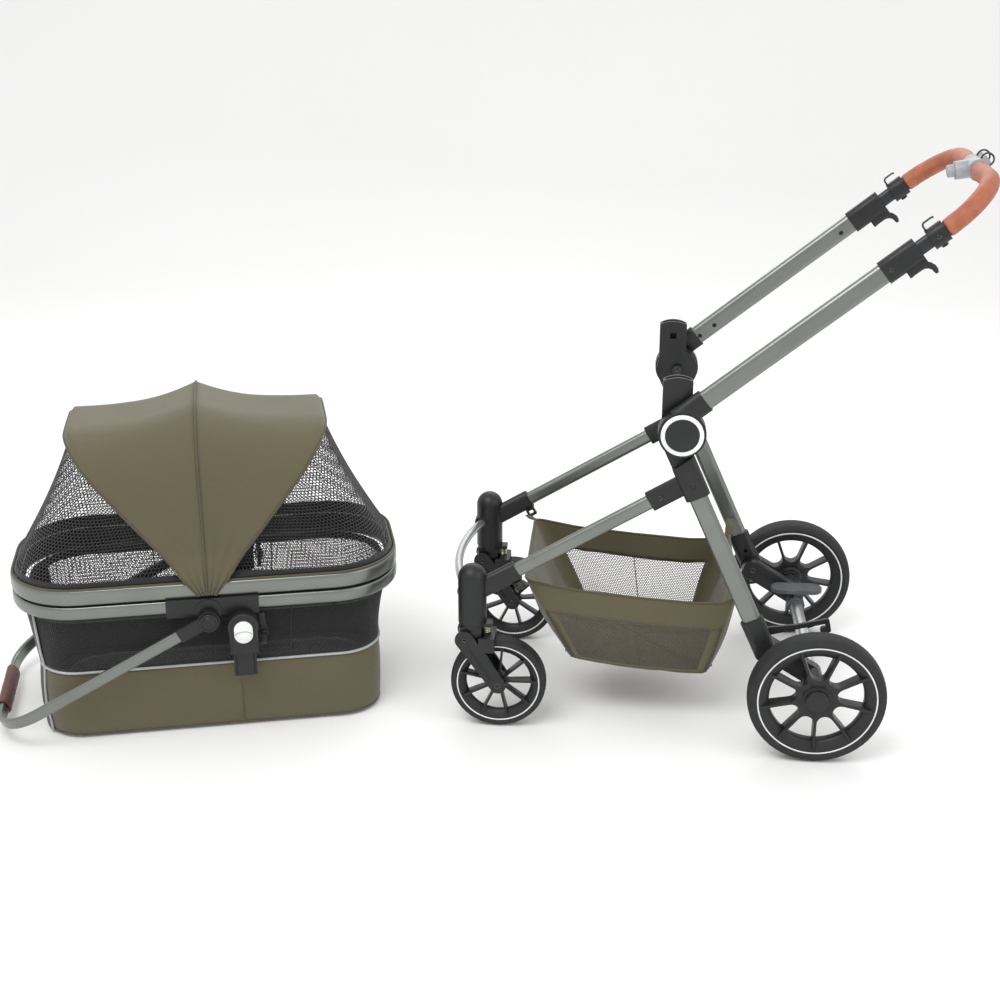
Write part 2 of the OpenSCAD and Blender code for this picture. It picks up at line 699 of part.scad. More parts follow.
module carry_grip() color(brown) place_carrier() on_carry(carry_r) rotate([90, 0, 0])
  linear_extrude(150, center = true) difference() {
    stadium(21, 33);
    stadium(11 + 2 * fit, 23 + 2 * fit);
  }

front_legs();
front_upper_sockets();
front_lower_sockets();
front_crossbar();
basket();
basket_hooks();
leg_casings();
receivers();
rear_legs();
rear_leg_sockets();
hub_bolts();
push_sockets();
push_tubes();
hub_caps();
hub_rings();
handle_collars();
trigger_left();
trigger_right();
handlebar_tube();
end_collars();
handle_wire_loops();
grip_sleeves();
handle_block();
handle_button();
axle_tube();
trailing_arms();
brake_pedal();
storage_hook();
rear_tyre_left();
rear_tyre_right();
rear_rim_left();
rear_rim_right();
caster_yoke_left();
caster_yoke_right();
caster_fork_left();
caster_fork_right();
caster_spring_left();
caster_spring_right();
front_tyre_left();
front_tyre_right();
front_rim_left();
front_rim_right();
lower_ring();
upper_ring();
hub_housings();
carrier_brackets();
body_lower();
body_upper();
floor_mat();
rib_rear();
net_rear();
net_front();
release_button_left();
release_button_right();
carry_tube();
carry_sockets();
carry_grip();
rib_mid();
rib_front();
hood_fabric();
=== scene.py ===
"""Looks for the pet stroller: a wheeled chassis and a hooded pet carrier parked in front of it.

Chassis pieces are built in millimetres in the chassis frame (hub axis at x = 0, centre plane at y = 0),
carrier pieces in the carrier's own frame (hood pivot above x = 0). Both frames come from the record's joints.
"""

import json
import math

import bmesh
import bpy
from mathutils import Matrix, Vector, noise


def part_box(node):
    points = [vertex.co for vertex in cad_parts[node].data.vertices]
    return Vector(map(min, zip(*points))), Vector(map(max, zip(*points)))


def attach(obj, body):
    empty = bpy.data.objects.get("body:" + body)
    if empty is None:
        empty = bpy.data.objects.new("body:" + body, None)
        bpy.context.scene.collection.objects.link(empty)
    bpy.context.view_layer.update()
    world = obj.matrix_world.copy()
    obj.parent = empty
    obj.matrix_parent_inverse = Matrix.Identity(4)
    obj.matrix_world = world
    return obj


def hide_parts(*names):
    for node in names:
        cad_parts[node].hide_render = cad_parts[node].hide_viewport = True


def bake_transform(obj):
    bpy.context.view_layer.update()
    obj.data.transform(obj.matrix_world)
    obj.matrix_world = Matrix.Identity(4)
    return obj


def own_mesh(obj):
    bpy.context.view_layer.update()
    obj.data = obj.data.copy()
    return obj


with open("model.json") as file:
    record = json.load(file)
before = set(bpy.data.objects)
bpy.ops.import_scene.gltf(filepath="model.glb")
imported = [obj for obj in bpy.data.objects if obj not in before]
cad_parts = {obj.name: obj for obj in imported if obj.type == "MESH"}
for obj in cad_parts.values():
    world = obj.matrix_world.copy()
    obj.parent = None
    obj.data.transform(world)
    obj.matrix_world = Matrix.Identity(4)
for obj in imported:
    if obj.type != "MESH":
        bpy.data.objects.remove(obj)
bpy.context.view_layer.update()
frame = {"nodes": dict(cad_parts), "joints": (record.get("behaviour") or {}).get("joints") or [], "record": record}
JOINTS = {j["name"]: j for j in frame["joints"]}

HUB = Vector(JOINTS["handle_fold"]["pos_m"])
CHASSIS = Matrix.Translation((HUB.x, HUB.y, 0)) @ Matrix.Scale(0.001, 4)
CARRY = Vector(JOINTS["carry_handle_raise"]["pos_m"])
ACROSS = Vector(JOINTS["carry_handle_raise"]["axis"])
YAW = math.atan2(-ACROSS.x, ACROSS.y)
SIDES = ((-1, "left"), (1, "right"))
X_AXIS, Y_AXIS = Vector((1, 0, 0)), Vector((0, 1, 0))
CARRIER = Matrix.Translation((CARRY.x, CARRY.y, 0)) @ Matrix.Rotation(YAW, 4, "Z") @ Matrix.Scale(0.001, 4)

# ---------- camera and light ----------


def link_new(name, data):
    obj = bpy.data.objects.new(name, data)
    bpy.context.scene.collection.objects.link(obj)
    return obj


def make_camera():
    data = bpy.data.cameras.new("camera")
    data.lens = 55.11
    data.sensor_width = 36
    data.clip_end = 50
    cam = link_new("camera", data)
    cam.location = (HUB.x - 0.1071, HUB.y - 2.7442, 1.4833)
    cam.rotation_euler = (math.radians(90 - 21.755), 0, math.radians(4.761))
    bpy.context.scene.camera = cam


def area_light(name, place, aim, size, power):
    data = bpy.data.lights.new(name, "AREA")
    data.shape = "RECTANGLE"
    data.size, data.size_y = size
    data.energy = power
    light = link_new(name, data)
    light.location = place
    light.rotation_euler = (Vector(aim) - Vector(place)).to_track_quat("-Z", "Y").to_euler()


def make_studio():
    world = bpy.data.worlds.new("studio")
    world.use_nodes = True
    background = world.node_tree.nodes["Background"]
    background.inputs["Color"].default_value = (1, 1, 1, 1)
    background.inputs["Strength"].default_value = 0.9
    bpy.context.scene.world = world
    bpy.context.scene.view_settings.view_transform = "Standard"
    area_light("key", (-0.9, -1.7, 3.4), (0, 0, 0.4), (2.4, 1.6), 62)
    area_light("fill", (2.6, -1.2, 1.9), (0, 0, 0.4), (1.6, 1.6), 14)
    area_light("back", (0.3, 2.6, 2.4), (0, 0, 0.5), (3.0, 1.2), 26)
    make_floor()


def make_floor():
    """Pale paper in metres, flat under the object and curving up behind it."""
    front, step, bend, drop = -7, 0.3, 3.2, 0.0012
    rows = []
    for i in range(41):
        run = front + step * i
        rise = max(0.0, run - bend)
        rows.append([Vector((x, run, -drop + 0.35 * rise * rise)) for x in (-16, -5, 5, 16)])
    smooth_object("floor", quad_grid(rows), floor_paper())


# ---------- materials ----------


class Shader:
    """A Principled material with helpers for procedural colour and bump."""

    def __init__(self, name, colour, rough, metal=0.0, **sockets):
        self.mat = bpy.data.materials.new(name)
        self.mat.use_nodes = True
        self.tree = self.mat.node_tree
        self.bsdf = self.tree.nodes["Principled BSDF"]
        self.coord = self.tree.nodes.new("ShaderNodeTexCoord").outputs["Object"]
        self.colour = colour
        self.mat.diffuse_color = (*colour, 1)
        self.bsdf.inputs["Base Color"].default_value = (*colour, 1)
        self.bsdf.inputs["Roughness"].default_value = rough
        self.bsdf.inputs["Metallic"].default_value = metal
        for key, value in sockets.items():
            self.bsdf.inputs[key.replace("_", " ")].default_value = value

    def node(self, kind, **values):
        made = self.tree.nodes.new("ShaderNode" + kind)
        for key, value in values.items():
            setattr(made, key, value)
        return made

    def link(self, a, b):
        self.tree.links.new(a, b)

    def noise(self, size_mm, detail=3.0, stretch=None):
        tex = self.node("TexNoise")
        tex.inputs["Scale"].default_value = 1000 / size_mm
        tex.inputs["Detail"].default_value = detail
        tex.inputs["Roughness"].default_value = 0.55
        self.link(self.mapped(stretch), tex.inputs["Vector"])
        return tex.outputs["Fac"]

    def mapped(self, stretch):
        if not stretch:
            return self.coord
        mapping = self.node("Mapping")
        mapping.inputs["Scale"].default_value = stretch
        self.link(self.coord, mapping.inputs["Vector"])
        return mapping.outputs["Vector"]

    def cells(self, size_mm, feature="F1"):
        tex = self.node("TexVoronoi", feature=feature)
        tex.inputs["Scale"].default_value = 1000 / size_mm
        self.link(self.coord, tex.inputs["Vector"])
        return tex.outputs["Distance"]

    def wave(self, pitch_mm, direction="DIAGONAL", distort=0.0, stretch=None):
        tex = self.node("TexWave", bands_direction=direction)
        tex.inputs["Scale"].default_value = 2 * math.pi / (10 * pitch_mm / 1000)
        tex.inputs["Distortion"].default_value = distort
        tex.inputs["Detail Scale"].default_value = 1.0
        self.link(self.mapped(stretch), tex.inputs["Vector"])
        return tex.outputs["Fac"]

    def maths(self, operation, a, b):
        made = self.node("Math", operation=operation)
        for i, value in enumerate((a, b)):
            if isinstance(value, (int, float)):
                made.inputs[i].default_value = value
            else:
                self.link(value, made.inputs[i])
        return made.outputs[0]

    def tint(self, fac, low, high):
        """Base colour from low x colour to high x colour, by fac."""
        made = self.node("ValToRGB")
        for element, place, k in zip(made.color_ramp.elements, (0.3, 0.7), (low, high)):
            element.position = place
            element.color = (*(min(1, c * k) for c in self.colour), 1)
        self.link(fac, made.inputs["Fac"])
        self.link(made.outputs["Color"], self.bsdf.inputs["Base Color"])
        return self

    def shine(self, fac, low, high):
        made = self.node("MapRange")
        made.inputs["To Min"].default_value = low
        made.inputs["To Max"].default_value = high
        self.link(fac, made.inputs["Value"])
        self.link(made.outputs["Result"], self.bsdf.inputs["Roughness"])
        return self

    def bump(self, *layers):
        """Each layer is (height, depth in mm)."""
        normal = None
        for height, depth in layers:
            made = self.node("Bump")
            made.inputs["Strength"].default_value = 1.0
            made.inputs["Distance"].default_value = depth / 1000
            self.link(height, made.inputs["Height"])
            if normal:
                self.link(normal, made.inputs["Normal"])
            normal = made.outputs["Normal"]
        self.link(normal, self.bsdf.inputs["Normal"])
        return self


def floor_paper():
    s = Shader("floor_paper", (0.9, 0.9, 0.895), 0.85)
    return s.tint(s.noise(900, 2), 0.99, 1.0).mat


def moulded(name, colour, rough, grain=0.9):
    s = Shader(name, colour, rough, Specular_IOR_Level=0.42)
    s.tint(s.noise(40), 0.86, 1.12)
    s.shine(s.noise(6), rough - 0.06, rough + 0.08)
    return s.bump((s.noise(grain, 2), 0.05)).mat


def anodised(name, colour, rough):
    s = Shader(name, colour, rough, 0.9)
    s.tint(s.noise(60), 0.94, 1.05)
    s.shine(s.noise(3, 4), rough - 0.05, rough + 0.06)
    return s.bump((s.noise(0.8, 2), 0.008)).mat


def twill(name, colour):
    s = Shader(name, colour, 0.86, Sheen_Weight=0.25, Sheen_Roughness=0.5)
    rib = s.wave(1.3, distort=0.6)
    thread = s.wave(0.9, "X", stretch=(1, -1, 1))
    weave = s.maths("ADD", s.maths("MULTIPLY", rib, 0.7), s.maths("MULTIPLY", thread, 0.3))
    mottle = s.maths("ADD", s.maths("MULTIPLY", s.noise(4, 4), 0.5), s.maths("MULTIPLY", weave, 0.5))
    s.tint(mottle, 0.9, 1.08)
    return s.bump((s.noise(60, 2), 0.7), (weave, 0.16)).mat


def spacer_mesh(name, colour):
    s = Shader(name, colour, 0.78, Sheen_Weight=0.15)
    holes = s.cells(2.6)
    s.tint(holes, 1.5, 0.35)
    return s.bump((holes, 0.35), (s.noise(30), 0.8)).mat


def webbing(name, colour, rough=0.8, pitch=1.1):
    s = Shader(name, colour, rough, Sheen_Weight=0.2)
    rib = s.wave(pitch, "DIAGONAL", 0.4)
    s.tint(s.maths("ADD", s.maths("MULTIPLY", rib, 0.5), s.maths("MULTIPLY", s.noise(9), 0.5)), 0.75, 1.2)
    return s.bump((rib, 0.15)).mat


def leather(name, colour):
    s = Shader(name, colour, 0.5, Sheen_Weight=0.05)
    grain = s.cells(1.5, "DISTANCE_TO_EDGE")
    s.tint(s.maths("ADD", s.maths("MULTIPLY", s.noise(22, 5), 0.8), s.maths("MULTIPLY", grain, 0.4)), 0.74, 1.15)
    s.shine(s.noise(12), 0.42, 0.62)
    return s.bump((s.noise(14, 4, (1, 0.5, 1)), 0.9), (grain, 0.12)).mat


def rubber(name, colour):
    s = Shader(name, colour, 0.72)
    s.tint(s.noise(18, 4), 0.8, 1.25)
    return s.bump((s.noise(1.4, 2), 0.12)).mat


def quilt(name, colour):
    s = Shader(name, colour, 0.92, Sheen_Weight=0.5, Sheen_Roughness=0.6)
    s.tint(s.noise(14, 5), 0.8, 1.15)
    return s.bump((s.noise(2.2, 3), 0.4)).mat


def zinc(name, colour):
    s = Shader(name, colour, 0.3, 1.0)
    s.tint(s.noise(4, 4), 0.85, 1.1)
    return s.bump((s.noise(1.2), 0.02)).mat


BLACK = moulded("black_plastic", (0.0115, 0.012, 0.0125), 0.42)
BLACK_SMOOTH = moulded("black_cap", (0.008, 0.0085, 0.009), 0.34, 2.5)
SATIN = anodised("satin_tube", (0.21, 0.222, 0.205), 0.3)
SILVER_TUBE = anodised("silver_tube", (0.5, 0.51, 0.52), 0.3)
DARK_TUBE = anodised("dark_tube", (0.05, 0.053, 0.056), 0.38)
OLIVE = twill("olive_twill", (0.101, 0.087, 0.045))
OLIVE_BINDING = webbing("olive_binding", (0.08, 0.069, 0.036))
MESH = spacer_mesh("black_mesh", (0.012, 0.012, 0.013))
NET = webbing("black_net", (0.012, 0.012, 0.013), 0.7, 2.0)
STRAP = webbing("black_strap", (0.012, 0.012, 0.013))
BASKET_MESH = webbing("basket_mesh", (0.06, 0.05, 0.036), 0.85, 2.0)
MAT_CLOTH = quilt("mat_fabric", (0.05, 0.048, 0.042))
TAN = leather("leather_tan", (0.4, 0.115, 0.055))
BROWN = leather("leather_brown", (0.125, 0.043, 0.025))
SILVER = moulded("silver_plastic", (0.33, 0.34, 0.365), 0.34, 3)
PALE = moulded("pale_plastic", (0.78, 0.8, 0.78), 0.35, 3)
TYRE = rubber("tyre_rubber", (0.013, 0.0135, 0.014))
PEDAL = rubber("pedal_grey", (0.07, 0.076, 0.084))
STEEL = moulded("steel_dark", (0.03, 0.031, 0.033), 0.35, 3)
SCREW = zinc("screw_steel", (0.07, 0.072, 0.075))
ZINC = zinc("zinc_spring", (0.52, 0.5, 0.34))
PIPING = webbing("reflective_piping", (0.42, 0.43, 0.44), 0.45)
ZIP = moulded("zip_teeth", (0.7, 0.7, 0.7), 0.5, 3)

SLOT_MATERIAL = {
    "black_plastic": BLACK, "satin_tube": SATIN, "silver_tube": SILVER_TUBE, "dark_tube": DARK_TUBE,
    "olive_twill": OLIVE, "black_mesh": MESH, "netting": NET, "mat_fabric": MAT_CLOTH, "leather_tan": TAN,
    "leather_brown": BROWN, "silver_plastic": SILVER, "pale_plastic": PALE, "tyre_rubber": TYRE,
    "steel_dark": STEEL, "zinc_spring": ZINC, "pedal_grey": PEDAL,
}
NODE_SLOT = {s["node"]: s["material_slot"] for s in frame["record"]["subparts"]}
NODE_BODY = {n: b for b, ns in frame["record"]["behaviour"]["bodies"].items() for n in ns}

# ---------- mesh helpers ----------


def smooth_object(name, bm, material):
    for face in bm.faces:
        face.smooth = True
    data = bpy.data.meshes.new(name)
    bm.to_mesh(data)
    bm.free()
    data.materials.append(material)
    return link_new(name, data)


def piece(name, bm, place, material, body=None, stands_for=()):
    """A mesh object from bm (millimetres in the frame `place`), riding on a CAD body."""
    bmesh.ops.transform(bm, matrix=place, verts=bm.verts)
    bmesh.ops.recalc_face_normals(bm, faces=bm.faces)
    obj = smooth_object(name, bm, material)
    finish_piece(obj, body, stands_for)
    return obj


def finish_piece(obj, body, stands_for):
    if body:
        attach(obj, body)
    if stands_for:
        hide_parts(*stands_for)


def apply_modifiers(obj):
    """Replaces the mesh with what its modifiers make of it."""
    bpy.context.view_layer.update()
    made = bpy.data.meshes.new_from_object(obj.evaluated_get(bpy.context.evaluated_depsgraph_get()))
    obj.modifiers.clear()
    obj.data = made
    return obj


def sharpen(obj, degrees):
    """Smooth shading with edges over that angle kept sharp."""
    bm = bmesh.new()
    bm.from_mesh(obj.data)
    limit = math.radians(degrees)
    for face in bm.faces:
        face.smooth = True
    for edge in bm.edges:
        edge.smooth = len(edge.link_faces) == 2 and edge.calc_face_angle(0) < limit
    bm.to_mesh(obj.data)
    bm.free()


def bevel_edges(obj, width, degrees, sharp):
    """Rounds edges over `degrees` by `width` mm, then keeps those over `sharp` sharp."""
    bevel = obj.modifiers.new("round", "BEVEL")
    bevel.width = width / 1000
    bevel.segments = 2
    bevel.limit_method = "ANGLE"
    bevel.angle_limit = math.radians(degrees)
    apply_modifiers(obj)
    sharpen(obj, sharp)


def rounded(node, width):
    """A copy of a CAD node with its hard edges rounded off by `width` mm, which stands for the node."""
    obj = link_new(node + "_look", frame["nodes"][node].data.copy())
    bm = bmesh.new()
    bm.from_mesh(obj.data)
    bmesh.ops.remove_doubles(bm, verts=bm.verts, dist=2e-5)
    bmesh.ops.dissolve_limit(bm, angle_limit=math.radians(1.5), verts=bm.verts, edges=bm.edges)
    bm.to_mesh(obj.data)
    bm.free()
    bevel_edges(obj, width, 40, 50)
    obj.data.materials.clear()
    slot = NODE_SLOT[node]
    obj.data.materials.append(SLOT_MATERIAL[slot])
    finish_piece(obj, NODE_BODY[node], [node])


def quad_grid(rows, closed_u=False, closed_v=False):
    """A bmesh of quads over rows of points; closed_u joins each row's ends, closed_v the last row to the first."""
    bm = bmesh.new()
    verts = [[bm.verts.new(p) for p in row] for row in rows]
    count_v, count_u = len(verts), len(verts[0])
    for i in range(count_v if closed_v else count_v - 1):
        for j in range(count_u if closed_u else count_u - 1):
            a, b = verts[i], verts[(i + 1) % count_v]
            bm.faces.new((a[j], a[(j + 1) % count_u], b[(j + 1) % count_u], b[j]))
    return bm


def merge(parts):
    """One bmesh out of several."""
    whole = bmesh.new()
    for part in parts:
        data = bpy.data.meshes.new("part")
        part.to_mesh(data)
        part.free()
        whole.from_mesh(data)
        bpy.data.meshes.remove(data)
    return whole


def solid_sheet(obj, thick_mm, offset=-1.0):
    """Gives a sheet its thickness."""
    shell = obj.modifiers.new("thick", "SOLIDIFY")
    shell.thickness = thick_mm / 1000
    shell.offset = offset
    shell.use_even_offset = False
    return apply_modifiers(obj)


def capped(bm, count):
    """Closes both ends of a grid whose rows have `count` points."""
    bm.verts.ensure_lookup_table()
    bm.faces.new(bm.verts[:count])
    bm.faces.new(bm.verts[-count:])
    return bm


def tube(path, radius, sides=12, closed=False, up=Vector((0, 0, 1)), caps=True):
    """A rod along points; radius may be a list."""
    points = [Vector(p) for p in path]
    count = len(points)
    rows = []
    for i, p in enumerate(points):
        before = points[i - 1] if (i or closed) else points[i]
        after = points[(i + 1) % count] if (i < count - 1 or closed) else points[i]
        run = (after - before).normalized()
        side = run.cross(up)
        side = side.normalized() if side.length > 1e-4 else X_AXIS
        top = side.cross(run).normalized()
        r = radius[i] if isinstance(radius, list) else radius
        rows.append([p + side * (r * math.cos(a)) + top * (r * math.sin(a)) for a in turns(sides)])
    bm = quad_grid(rows, closed_u=True, closed_v=closed)
    return capped(bm, sides) if caps and not closed else bm


def ribbon(path, width, normal, thick):
    """A flat band along points: width across the path, thick along the normal."""
    up = Vector(normal).normalized()
    rows = []
    for i, p in enumerate(path):
        run = (path[min(i + 1, len(path) - 1)] - path[max(i - 1, 0)]).normalized()
        side = run.cross(up).normalized() * width / 2
        lift = up * thick / 2
        rows.append([p - side - lift, p + side - lift, p + side * 0.96 + lift, p - side * 0.96 + lift])
    return capped(quad_grid(rows, closed_u=True), 4)


def turns(count):
    """Evenly spaced angles over one turn."""
    return [2 * math.pi * k / count for k in range(count)]


def lathe(profile, steps):
    """Turns (radius, offset) points about the Y axis."""
    rows = [[Vector((r * math.cos(a), h, r * math.sin(a))) for r, h in profile] for a in turns(steps)]
    return quad_grid(rows, closed_u=True, closed_v=True)


def stud(profile, place, direction):
    """A small lathed head at a place, its profile's offsets along a direction."""
    rows = [[Vector((r * math.cos(a), r * math.sin(a), h)) for r, h in profile] for a in turns(30)]
    bm = quad_grid(rows, closed_u=True, closed_v=True)
    turn = Vector(direction).to_track_quat("Z", "Y").to_matrix().to_4x4()
    bmesh.ops.transform(bm, matrix=Matrix.Translation(place) @ turn, verts=bm.verts)
    return bm


def arc(cx, cy, r, a0, a1, steps):
    return [(cx + r * math.cos(math.radians(a0 + (a1 - a0) * i / steps)),
             cy + r * math.sin(math.radians(a0 + (a1 - a0) * i / steps))) for i in range(steps + 1)]


def plan_curve(length, width, corner):
    """Half of a rounded plan, from (0, -width) round the -x end to (0, width)."""
    points = [(0.0, -width)]
    points += arc(-(length - corner), -(width - corner), corner, 270, 180, 14)
    points += arc(-(length - corner), width - corner, corner, 180, 90, 14)
    return points + [(0.0, width)]


def plan_loop(length, width, corner, steps=14):
    """A whole rounded plan, anticlockwise from the +x side's near corner."""
    points = arc(length - corner, -(width - corner), corner, -90, 0, steps)
    points += arc(length - corner, width - corner, corner, 0, 90, steps)
    points += arc(-(length - corner), width - corner, corner, 90, 180, steps)
    return points + arc(-(length - corner), -(width - corner), corner, 180, 270, steps)


def loop_at(z, plan, count=None):
    """A whole rounded plan (length, width, corner) at one height, resampled to count points if given."""
    loop = [(x, y, z) for x, y in plan_loop(*plan)]
    return resample(loop, count, True) if count else loop


def grown(plan, by, corner_by=None):
    """The plan with its half length and half width changed by one amount."""
    return plan[0] + by, plan[1] + by, plan[2] + (by if corner_by is None else corner_by)


def resample(points, count, closed=False):
    """Evenly spaced points along a polyline."""
    pts = [Vector(p) for p in points] + ([Vector(points[0])] if closed else [])
    lengths = [0.0]
    for a, b in zip(pts, pts[1:]):
        lengths.append(lengths[-1] + (b - a).length)
    total = lengths[-1]
    out, k = [], 0
    steps = count if closed else count - 1
    for i in range(count):
        want = total * i / steps
        while k < len(pts) - 2 and lengths[k + 1] < want:
            k += 1
        span = lengths[k + 1] - lengths[k]
        out.append(pts[k].lerp(pts[k + 1], (want - lengths[k]) / span if span else 0))
    return out


def length_of(points):
    return sum((Vector(b) - Vector(a)).length for a, b in zip(points, points[1:]))


def ripple(p, across, up, shift=0.0):
    """Smooth noise at a point, between -1 and 1."""
    return noise.noise(Vector((p.x * across, p.y * across, p.z * up + shift)))


def stitches(path, normals, pitch, size, length):
    """Short raised threads along a seam; normals gives the outward direction at a point."""
    along = resample(path, max(2, int(length_of(path) / pitch)))
    parts = []
    for a, b in zip(along, along[1:]):
        up = normals(a).normalized()
        run = (b - a).normalized() * length / 2
        mid = (a + b) / 2 + up * size * 0.4
        parts.append(tube([mid - run, mid, mid + run], [size * 0.4, size, size * 0.4], 5, up=up, caps=False))
    return merge(parts)


# ---------- carrier, soft parts ----------

PIVOT_Z = 264
RIB_A = 36
RIB_OUT = 387
RIB_MID = 350
HOOD_HALF = 163
RING_TOP = 308
CARRY_Z = 241
BRACKET_X = 61
STRAP_X = 98
SEAM_Z = 137
NECK_Z = 254
BODY_POINTS = 200
# Half plans as (half length, half width, corner radius)
BASE = (318, 160, 78)
NECK = (340, 161, 108)
RING = (362, 176, 132)
RIM = (348, 162, 118)


def rib_line(angle, reach, half, corner, foot, flare=0.0):
    """A rib's outline in the carrier frame, from the near pivot over the top to the far one."""
    legs = [foot + (reach - corner - foot) * i / 14 for i in range(15)]
    side = []
    for r in legs:
        low = min(1.0, max(0.0, (112 - r) / 55))
        side.append((half + flare * low * low * (3 - 2 * low), r))
    bend = [(half - corner + corner * math.cos(a), reach - corner + corner * math.sin(a))
            for a in (math.pi / 2 * i / 12 for i in range(1, 13))]
    near = side + bend
    line = [(-y, r) for y, r in near] + [(y, r) for y, r in reversed(near[:-1])]
    line.insert(len(near), (0.0, reach))
    tilt = math.radians(angle)
    return resample([(r * math.sin(tilt), y, PIVOT_Z + r * math.cos(tilt)) for y, r in line], 97)


def hood_rows(sign):
    """Rows of points over half the hood, from the outer rib's hem to the middle seam."""
    outer = rib_line(sign * RIB_A, RIB_OUT + 3, HOOD_HALF, 112, 26, 18)
    lip = rib_line(sign * (RIB_A + 1.6), RIB_OUT, HOOD_HALF - 1, 110, 26, 18)
    hem = rib_line(sign * (RIB_A + 2.1), RIB_OUT - 9, HOOD_HALF - 6, 106, 27, 17)
    mid = rib_line(0, RIB_MID + 4, HOOD_HALF + 1.5, 112, 24, 19)
    inner = Vector((0, 0, PIVOT_Z + 130))
    rows = [hem, lip]
    steps = 22
    for i in range(steps + 1):
        s = i / steps
        row = []
        for a, b in zip(outer, mid):
            p = a.lerp(b, s)
            reach = math.hypot(p.x, p.z - PIVOT_Z)
            top = min(1.0, max(0.0, (reach - 190) / 130))
            sag = (3.5 + 11 * top) * 4 * s * (1 - s) * min(1.0, reach / 120)
            p = p + (inner - p).normalized() * sag
            low = max(0.0, 1 - reach / 170)
            out = 1 if p.y > 0 else -1
            p.y += out * low * 2.6 * math.sin(s * 19 + 1.3 * out)
            wrinkle = ripple(p, 0.011, 0.018, sign * 3)
            row.append(p + (p - inner).normalized() * wrinkle * 1.6 * math.sin(math.pi * s))
        rows.append(row)
    return rows


def make_hood():
    """The hood's two cloth panels, each stretched between the ribs at its edges."""
    for name, sign, bodies in (("hood_front_panel", -1, ("hood_mid", "hood_front")),
                               ("hood_rear_panel", 1, ("carrier", "hood_mid"))):
        rows = hood_rows(sign)
        panel = piece(name, quad_grid(rows), CARRIER, OLIVE)
        face_outward(panel, (0, 0, PIVOT_Z + 100))
        solid_sheet(panel, 1.6)
        binding = piece(name + "_binding", tube(rows[1], 2.1, 8), CARRIER, OLIVE_BINDING)
        cord_line = piece(name + "_edge_line", tube(rows[0], 1.1, 6), CARRIER, STRAP)
        for obj in (panel, binding, cord_line):
            if sign < 0:
                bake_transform(obj)
            else:
                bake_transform(obj)
        if sign < 0:
            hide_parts("hood_fabric")
    seam = rib_line(0, RIB_MID + 4.6, HOOD_HALF + 2.2, 112, 24, 19)
    piece("hood_middle_seam", tube(seam, 1.7, 8), CARRIER, OLIVE_BINDING, "hood_mid")


def face_outward(obj, centre):
    """Turns a sheet's faces away from a point given in the carrier's millimetres."""
    middle = CARRIER @ Vector(centre)
    bm = bmesh.new()
    bm.from_mesh(obj.data)
    total = sum((f.calc_center_median() - middle).normalized().dot(f.normal) * f.calc_area() for f in bm.faces)
    if total < 0:
        bmesh.ops.reverse_faces(bm, faces=bm.faces)
    bm.to_mesh(obj.data)
    bm.free()


class Ruled:
    """A surface of straight lines between two matching curves, measured in mm along the first and up the lines."""

    def __init__(self, low, high, sag=0.0, inward=None, count=240, closed=False):
        self.closed = closed
        self.low = resample(low, count, closed)
        self.high = resample(high, count, closed)
        if closed:
            self.low.append(self.low[0])
            self.high.append(self.high[0])
        self.length = length_of(self.low)
        self.sag = sag
        self.inward = inward

    def pair(self, a):
        place = min(max(a / self.length, 0.0), 1.0) * (len(self.low) - 1)
        k = min(int(place), len(self.low) - 2)
        return (self.low[k].lerp(self.low[k + 1], place - k), self.high[k].lerp(self.high[k + 1], place - k))

    def height(self, a):
        low, high = self.pair(a)
        return (high - low).length

    def at(self, a, b):
        low, high = self.pair(a % self.length if self.closed and a != self.length else a)
        tall = max((high - low).length, 1e-6)
        share = b / tall
        p = low.lerp(high, share)
        if self.inward:
            p += (self.inward - p).normalized() * self.sag * max(0.0, 4 * share * (1 - share))
        return p

    def band(self, b0, b1, steps=4):
        """Rows between two heights; a height under 0 counts down from the top edge."""
        rows, columns = [], 240
        for i in range(steps + 1):
            row = []
            for k in range(columns + 1):
                a = self.length * k / columns
                tall = self.height(a)
                ends = [min(max(v if v >= 0 else tall + v + 1, 0.0), tall) for v in (b0, b1)]
                row.append(self.at(a, ends[0] + (ends[1] - ends[0]) * i / steps))
            rows.append(row)
        return rows


def netting(surface, pitch, strand):
    """Open netting over a ruled surface: a sheet of hexagons, each with a hole."""
    radius = pitch / math.sqrt(3)
    columns = int(surface.length / pitch)
    pitch = surface.length / columns
    tallest = max(surface.height(surface.length * k / 60) for k in range(61))
    bm = bmesh.new()
    corners = {}

    def vertex(a, b):
        if surface.closed:
            a = a % surface.length
            if surface.length - a < 0.01:
                a = 0.0
        key = (round(a * 4), round(b * 4))
        if key not in corners:
            corners[key] = bm.verts.new(surface.at(a, b))
        return corners[key]

    for row in range(int(tallest / (1.5 * radius)) + 2):
        for column in range(columns) if surface.closed else range(-1, columns + 1):
            a = (column + 0.5 * (row % 2)) * pitch
            b = row * 1.5 * radius
            ring = [(a + dx * pitch / 2, b + dy * radius)
                    for dx, dy in ((0, 1), (1, 0.5), (1, -0.5), (0, -1), (-1, -0.5), (-1, 0.5))]
            if not surface.closed and any(not 0 <= corner[0] <= surface.length for corner in ring):
                continue
            if any(not -0.5 <= y <= surface.height(x % surface.length) + 0.5 for x, y in ring):
                continue
            verts = [vertex(x, y) for x, y in ring]
            if len(set(verts)) == 6:
                bm.faces.new(verts)
    bm.normal_update()
    bmesh.ops.inset_individual(bm, faces=bm.faces[:], thickness=strand / 2, use_even_offset=True)
    holes = [f for f in bm.faces if len(f.verts) == 6]
    bmesh.ops.delete(bm, geom=holes, context="FACES_ONLY")
    return bm


